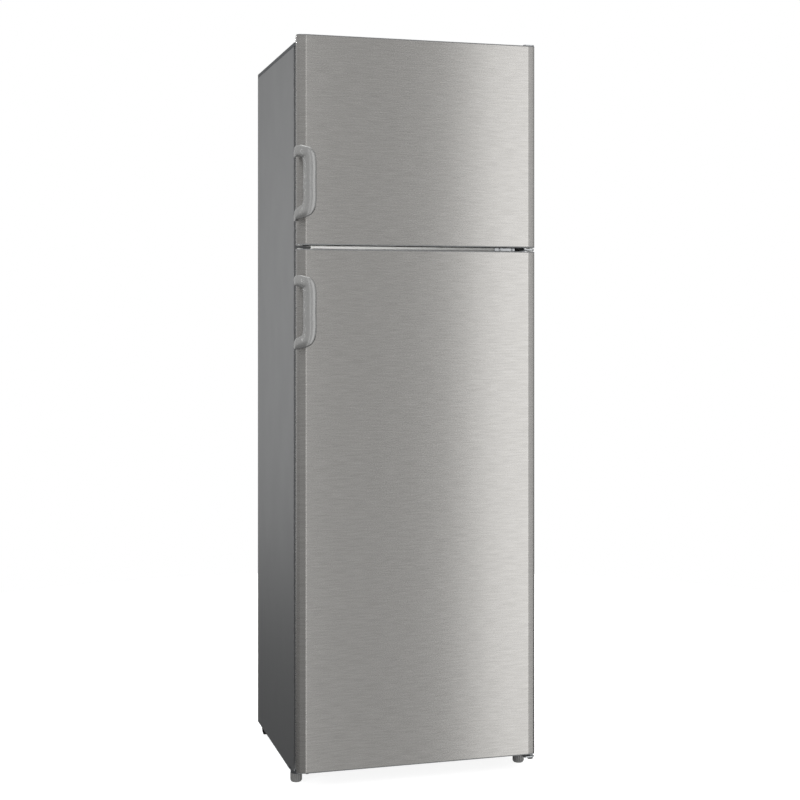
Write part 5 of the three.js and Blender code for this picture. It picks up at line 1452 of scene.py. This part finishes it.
# %% Bellows section run round a rectangle
BELLOWS = [
    (2.0, 0.1), (0.4, 1.2), (0.2, 2.6), (2.6, 4.0), (2.6, 4.8), (0.2, 6.0), (0.1, 7.4), (0.0, 11.0),
    (0.5, 12.1), (1.8, 12.5), (8.6, 12.5), (9.0, 12.1), (9.4, 12.5), (16.2, 12.5), (17.4, 12.1),
    (17.9, 11.0), (17.9, 8.4), (17.2, 7.2), (14.4, 6.4), (14.4, 5.4), (16.6, 4.4), (16.8, 2.6),
    (16.0, 0.1),
]
for door in RIDGES:
    low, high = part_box(door + "_seal")
    outside = (low.x, high.x, low.z, high.z)
    loops = [
        (*shrunk(outside, a * MM), max(0.3, 4.5 - a / 5) * MM, low.y + h * MM) for a, h in BELLOWS
    ]
    mesh = strung_loops(door + "_gasket", loops, True, closed=True)
    place(door + "_gasket", mesh, node_body[door + "_seal"], "seal", door + "_seal", angle=50)
print("gasket section points", len(BELLOWS))

# %% [markdown]
# ## Cabinet liners
# Each compartment is a deep box formed from sheet, open to the front, with a flange round its
# mouth that lies on the foam. The fridge's box has a step at the bottom rear, over the
# compressor. The box is a section pushed across, its edges rounded by a bevel while it is still
# a closed solid; only then is the mouth opened and the flange drawn outwards.

# %% Formed compartments with a flange
CAVITY = {
    "fridge": {
        "half": 248.2, "rim": (68.0, 1245.5),
        "corners": [
            (0, 81.8), (265.2, 81.8), (280.2, 263.8), (425.2, 263.8), (425.2, 1221.7),
            (0, 1221.7),
        ],
        "ledges": (274.0, 503.9, 733.8, 963.6),
    },
    "freezer": {
        "half": 238.2, "rim": (1273.5, 1730.7),
        "corners": [(0, 1297.3), (425.2, 1297.3), (425.2, 1680.2), (0, 1680.2)],
        "ledges": (1488.8,),
    },
}
RIM_HALF = 261.7
for room, facts in CAVITY.items():
    name = room + "_formed_box"
    half = facts["half"] * MM
    bm = bmesh.new()
    side = [
        bm.verts.new((cabinet_middle - half, CABINET_FRONT + y * MM, z * MM))
        for y, z in facts["corners"]
    ]
    wall_face = bm.faces.new(side)
    pushed = bmesh.ops.extrude_face_region(bm, geom=[wall_face])["geom"]
    bmesh.ops.translate(
        bm, vec=(2 * half, 0, 0), verts=[g for g in pushed if isinstance(g, bmesh.types.BMVert)]
    )
    bmesh.ops.recalc_face_normals(bm, faces=bm.faces)
    mouth_edges = {
        e for e in bm.edges if all(abs(v.co.y - CABINET_FRONT) < 1e-6 for v in e.verts)
    }
    bmesh.ops.bevel(
        bm, geom=[e for e in bm.edges if e not in mouth_edges], offset=9 * MM, segments=4,
        profile=0.5, affect="EDGES", clamp_overlap=True,
    )
    mouth = [f for f in bm.faces if all(abs(v.co.y - CABINET_FRONT) < 1e-6 for v in f.verts)]
    bmesh.ops.delete(bm, geom=mouth, context="FACES_ONLY")
    rim_edges = [e for e in bm.edges if e.is_boundary]
    grown = bmesh.ops.extrude_edge_only(bm, edges=rim_edges)["geom"]
    z_low, z_high = facts["corners"][0][1] * MM, facts["corners"][-1][1] * MM
    rim_low, rim_high = facts["rim"][0] * MM, facts["rim"][1] * MM
    for vertex in [g for g in grown if isinstance(g, bmesh.types.BMVert)]:
        share = (vertex.co.z - z_low) / (z_high - z_low)
        vertex.co.z = rim_low + share * (rim_high - rim_low)
        vertex.co.x = cabinet_middle + (vertex.co.x - cabinet_middle) * RIM_HALF * MM / half
        vertex.co.y = CABINET_FRONT + 0.1 * MM
    bmesh.ops.reverse_faces(bm, faces=bm.faces)
    mesh = mesh_from(bm, name, outwards=False)
    piece = place(name, mesh, "cabinet", "white_liner", room + "_liner", angle=40)
    solid_wall(piece, 1.2 * MM, -1.0)
    ledge_bm = bmesh.new()
    for z in facts["ledges"]:
        for sign in (-1, 1):
            inner = cabinet_middle + sign * (half - 5.6 * MM)
            outer = cabinet_middle + sign * (half + 0.3 * MM)
            y0, y1 = CABINET_FRONT + 127 * MM, CABINET_FRONT + 413 * MM
            made = bmesh.ops.create_cube(ledge_bm, size=1.0)["verts"]
            centre = Vector(((inner + outer) / 2, (y0 + y1) / 2, z * MM - 4.4 * MM))
            for vertex in made:
                vertex.co = centre + Vector(
                    (
                        vertex.co.x * abs(outer - inner), vertex.co.y * (y1 - y0),
                        vertex.co.z * 8 * MM,
                    ),
                )
    ledges = mesh_from(ledge_bm, room + "_ledges", outwards=False)
    place(room + "_ledges", ledges, "cabinet", "white_liner", bevel_mm=2.2, segments=4)
    print(room, "box faces", len(piece.data.polygons), "ledges", 2 * len(facts["ledges"]))

# %% [markdown]
# ## Door bins and drawers
# Bins are injection-moulded trays: thin walls with a little draft, a rolled rim that stiffens
# them, round upright corners, and shallow ribs on the front wall. The crisper is the same
# moulding, larger, with a grip along its front. A tray is a closed chain of loops: up the
# outside, over the rim and down the inside to its own floor.

# %% Trays from one section
TRAY = [
    (6.0, 0.0), (3.4, 0.4), (2.0, 2.0), (1.6, 5.0), (1.2, -6.5), (0.2, -6.0), (0.0, -5.2),
    (0.0, -1.2), (0.5, -0.2), (1.4, 0.0), (2.4, -0.2), (2.9, -1.0), (3.2, -6.0), (3.6, 6.0),
    (4.6, 3.6), (7.0, 2.2),
]
rib_row_tree, sizes = start_tree(
    "row_of_ribs", Count=10, Pitch=30.0 * MM, Size=(0.002, 0.001, 0.03)
)
rib_box = add_node(rib_row_tree, "GeometryNodeMeshCube", {"Size": sizes["Size"]})
rib_step = add_node(rib_row_tree, "ShaderNodeCombineXYZ", {"X": sizes["Pitch"]})
rib_line = add_node(
    rib_row_tree, "GeometryNodeMeshLine", {"Count": sizes["Count"], "Offset": rib_step.outputs[0]}
)
rib_copies = add_node(
    rib_row_tree, "GeometryNodeInstanceOnPoints",
    {"Points": rib_line.outputs[0], "Instance": rib_box.outputs[0]},
)
rib_rows = add_node(
    rib_row_tree, "GeometryNodeInstanceOnPoints",
    {"Points": sizes["Points"], "Instance": rib_copies.outputs[0]},
)
end_tree(rib_row_tree, rib_rows.outputs[0], clear_plastic)


def tray(node, corner_mm, box=None):
    """A moulded tray in a CAD node's box."""
    low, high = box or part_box(node)
    top = high.z
    plan = (low.x, high.x, low.y, high.y)
    loops = [
        (
            *shrunk(plan, a * MM), max(1.0, corner_mm - a) * MM,
            (low.z if h > 0 or i < 2 else top) + h * MM,
        )
        for i, (a, h) in enumerate(TRAY)
    ]
    loops[9] = (*loops[9][:5], top)
    mesh = strung_loops(node + "_tray", loops, False, fill=(True, True))
    return place(node + "_tray", mesh, node_body[node], "clear_plastic", node, angle=50)


for node in (
    "freezer_door_bin_lower", "freezer_door_bin_upper", "fridge_door_bin_middle",
    "fridge_door_bin_upper", "bottle_rack",
):
    tray(node, 14)
    low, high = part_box(node)
    count = 15
    pitch_x = (high.x - low.x - 70 * MM) / (count - 1)
    mesh = run_tree(
        rib_row_tree, node + "_ribs",
        [(low.x + 35 * MM, high.y - 1.1 * MM, (low.z + high.z) / 2 - 1 * MM)], Count=count,
        Pitch=pitch_x, Size=(2.4 * MM, 1.2 * MM, (high.z - low.z) - 24 * MM),
    )
    place(node + "_ribs", mesh, node_body[node], "clear_plastic", bevel_mm=0.4)

low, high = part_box("crisper_drawer")
body_low = Vector((low.x, low.y + 10 * MM, low.z))
tray("crisper_drawer", 16, box=(body_low, high))
grip_x = (low.x + 14 * MM, high.x - 14 * MM)
folded_sheet(
    "crisper_grip",
    [
        (low.y + 11 * MM, high.z - 1.3 * MM), (low.y + 4 * MM, high.z - 1.3 * MM),
        (low.y + 1.6 * MM, high.z - 3.4 * MM), (low.y + 1.3 * MM, high.z - 25 * MM),
    ],
    *grip_x, 2.2 * MM, "clear_plastic", body="crisper", bevel_mm=0.5,
)
mesh = run_tree(
    rib_row_tree, "crisper_ribs",
    [(low.x + 40 * MM, low.y + 11.2 * MM, (low.z + high.z) / 2 - 12 * MM)], Count=21,
    Pitch=(high.x - low.x - 80 * MM) / 20, Size=(3.0 * MM, 1.4 * MM, 96 * MM),
)
place("crisper_ribs", mesh, "crisper", "clear_plastic", bevel_mm=0.5)

# %% [markdown]
# ## Ice tray
# The ice tray is a shallow tray with walls that part it into cells; the walls stop short of the
# rim, so that water can run over them and fill every cell to one level.

# %% Ice tray and its dividers
low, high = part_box("ice_tray")
tray("ice_tray", 10)
cell_y = (high.y - low.y - 12 * MM) / 7
dividers = run_tree(
    rib_row_tree, "ice_tray_dividers",
    [
        ((low.x + high.x) / 2, low.y + 6 * MM + cell_y * k, (low.z + high.z) / 2 - 3 * MM)
        for k in range(1, 7)
    ],
    Count=1, Pitch=0.0, Size=(high.x - low.x - 8 * MM, 2.2 * MM, 22 * MM),
)
place("ice_tray_dividers", dividers, "cabinet", "clear_plastic", bevel_mm=0.9)
spine = run_tree(
    rib_row_tree, "ice_tray_spine",
    [((low.x + high.x) / 2, (low.y + high.y) / 2, (low.z + high.z) / 2 - 3 * MM)], Count=1,
    Pitch=0.0, Size=(2.2 * MM, high.y - low.y - 8 * MM, 22 * MM),
)
place("ice_tray_spine", spine, "cabinet", "clear_plastic", bevel_mm=0.9)

# %% [markdown]
# ## Shelves
# A shelf is a tempered glass plate with ground edges, held along its front and rear by white
# plastic trims that are pushed over it. The rear trim stands up, to keep food off the cold wall.

# %% Glass and its trims
for node in (
    "fridge_shelf_lower", "fridge_shelf_middle", "fridge_shelf_upper", "crisper_cover",
    "freezer_shelf",
):
    rounded_copy(node, 0.7)
    low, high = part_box(node)
    z0, z1 = low.z, high.z
    y0 = low.y
    front = [
        (y0 + 14 * MM, z0 - 0.9 * MM), (y0 + 0.6 * MM, z0 - 1.4 * MM),
        (y0 - 0.9 * MM, z0 - 0.2 * MM), (y0 - 1.0 * MM, z1 - 0.4 * MM),
        (y0 - 0.2 * MM, z1 + 0.9 * MM), (y0 + 10 * MM, z1 + 0.9 * MM),
    ]
    folded_sheet(
        node + "_front_trim", front, low.x + 2 * MM, high.x - 2 * MM, 1.6 * MM, "white_plastic",
        bevel_mm=0.5,
    )
    y1 = high.y
    rear = [
        (y1 - 12 * MM, z0 - 0.9 * MM), (y1 + 1.0 * MM, z0 - 0.9 * MM), (y1 + 1.0 * MM, z1 + 9 * MM),
        (y1 - 1.4 * MM, z1 + 9.6 * MM),
    ]
    folded_sheet(
        node + "_rear_trim", rear, low.x + 3 * MM, high.x - 3 * MM, 1.6 * MM, "white_plastic",
        bevel_mm=0.5,
    )
print("shelves 5, trims 10")

# %% [markdown]
# ## Details of the hinge side and the door ends
# Between the doors the middle hinge shows as a bright plate with its screws and a white washer
# that the freezer door turns on; beside it a dark block is painted shade, standing for the dark
# view into the gap. At the other end, where a left-hand hinge would go, small plugs close the
# unused holes. Under the fridge door a short stop sits at the corner.

# %% Washers, a block of painted shade, plugs and stop
pin_x, pin_y = hinge_high.x - 8 * MM, door_front + 15 * MM
gap_low, gap_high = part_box("fridge_door_top_cap")[1].z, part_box("freezer_door_bottom_cap")[0].z
plate_low, plate_high = mullion_z - 1.5 * MM, mullion_z + 1.5 * MM
washer = [(3.9, 0.0), (8.2, 0.0), (8.6, 0.4), (8.6, 1.9), (8.2, 2.3), (3.9, 2.3), (3.9, 0.0)]
for end, z in (("upper", plate_high + 0.1 * MM), ("lower", plate_low - 2.4 * MM)):
    name = "hinge_washer_" + end
    turned_piece(name, washer, (pin_x, pin_y, z), "cabinet", "white_plastic", steps=48, angle=30)
# a dark block in the gap beside the hinge: painted shade, standing for the dark view into the gap
gap_shade_outline = rounded_rectangle(
    pin_x - 37 * MM, pin_x - 15 * MM, door_front + 16 * MM, door_front + 36 * MM, 2 * MM, 8
)
prism_piece(
    "hinge_gap_shade_block", gap_shade_outline, plate_high + 0.1 * MM, gap_high - 0.6 * MM, "cabinet", "dark_plastic",
    0.5,
)
plug = [(0, 0.0), (6.2, 0.0), (7.2, 0.5), (7.2, 1.0), (5.4, 1.8), (0, 2.0)]
plug_x = 2 * door_middle - pin_x
for body, z, sign in (("freezer_door", gap_high, -1), ("fridge_door", gap_low, 1)):
    name = body + "_hole_plug"
    profile = [(r, sign * h) for r, h in plug]
    turned_piece(name, profile, (plug_x, pin_y, z), body, "white_plastic", steps=40, angle=30)
stop_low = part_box("fridge_door_bottom_cap")[0]
stop = [(0, 0.0), (4.4, 0.0), (4.4, -3.8), (3.8, -4.7), (0, -5.0)]
stop_x = plug_x + 17 * MM
turned_piece(
    "fridge_door_stop", stop, (stop_x, pin_y, stop_low.z), "fridge_door", "dark_plastic",
    steps=40, angle=30,
)
LIP_THICK = 2.5 * MM
lip_x = (pin_x - 92 * MM, pin_x - 40 * MM)
lip_face = door_front + 13 * MM
lip = [
    (lip_x[0], lip_face), (lip_x[1], lip_face), (lip_x[1], lip_face + LIP_THICK),
    (lip_x[0], lip_face + LIP_THICK),
]
web = [
    (lip_x[0], lip_face + 2 * MM), (lip_x[1], lip_face + 2 * MM),
    (lip_x[1], CABINET_FRONT - 2.9 * MM), (lip_x[0], CABINET_FRONT - 2.9 * MM),
]
prism_piece(
    "middle_hinge_lip", [Vector(p) for p in lip], gap_low + 1.2 * MM, gap_high - 1.6 * MM,
    "cabinet", "zinc_steel", 0.6,
)
prism_piece(
    "middle_hinge_web", [Vector(p) for p in web], plate_low, plate_high, "cabinet", "zinc_steel",
    0.4,
)
screws(
    "middle_hinge_lip_screws", "cabinet", (0.0, -1.0, 0.0),
    [(lip_x[0] + dx * MM, lip_face, mullion_z) for dx in (14, 45)], 3.2,
)
trim_face = door_front + 9 * MM
folded_sheet(
    "mullion_trim",
    [
        (CABINET_FRONT - 0.5 * MM, gap_low + 1.2 * MM), (trim_face + 3 * MM, gap_low + 1.2 * MM),
        (trim_face, gap_low + 2.0 * MM), (trim_face, gap_high - 2.6 * MM),
        (trim_face + 4 * MM, gap_high - 1.6 * MM),
        (CABINET_FRONT - 0.5 * MM, gap_high - 1.6 * MM),
    ],
    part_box("mullion_rail")[0].x + 2 * MM, lip_x[0] - 3 * MM, 0.8 * MM, "white_plastic",
)
for side, x in (("left", cabinet_middle - 150 * MM), ("right", cabinet_middle + 90 * MM)):
    button = [(0, 0.0), (5.0, 0.0), (5.4, -0.5), (4.4, -1.4), (0, -1.7)]
    name = f"mullion_plug_{side}"
    turned_piece(
        name, button, (x, CABINET_FRONT, mullion_z), "cabinet", "white_plastic", axis="Y",
        steps=32, angle=30,
    )

# %% [markdown]
# ## Light and thermostat
# The lamp sits behind a ribbed diffuser in the roof of the fridge, with the thermostat's knob and
# the door switch on the same housing. The diffuser's ribs spread the light of a small bulb.

# %% Diffuser ribs, bulb and knob ribs
low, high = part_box("lamp_cover")
mesh = run_tree(
    rib_row_tree, "diffuser_ribs", [(low.x + 5 * MM, (low.y + high.y) / 2, low.z - 0.2 * MM)],
    Count=19, Pitch=(high.x - low.x - 10 * MM) / 18,
    Size=(1.8 * MM, high.y - low.y - 8 * MM, 1.2 * MM),
)
place("diffuser_ribs", mesh, "cabinet", "clear_plastic", bevel_mm=0.4)
bulb = [
    (0, -22), (4, -21.4), (8, -18.6), (10.6, -14), (11.2, -9), (10, -3), (7.4, 3), (6.8, 8),
    (6.8, 20), (0, 20),
]
bulb_at = ((low.x + high.x) / 2, (low.y + high.y) / 2 - 4 * MM, low.z + 19 * MM)
turned_piece("lamp_bulb", bulb, bulb_at, "cabinet", "clear_plastic", axis="Y", steps=40, angle=50)
low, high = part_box("thermostat_knob")
knob_x, knob_z = (low.x + high.x) / 2, (low.z + high.z) / 2
knob_points = [
    (knob_x + 14.2 * MM * math.cos(a), low.y + 10.5 * MM, knob_z + 14.2 * MM * math.sin(a))
    for a in (2 * math.pi * k / 28 for k in range(28))
]
mesh = run_tree(
    rib_row_tree, "knob_grip", knob_points, Count=1, Pitch=0.0, Size=(1.2 * MM, 2.4 * MM, 1.2 * MM)
)
place("knob_grip", mesh, "thermostat", "white_plastic", bevel_mm=0.3)
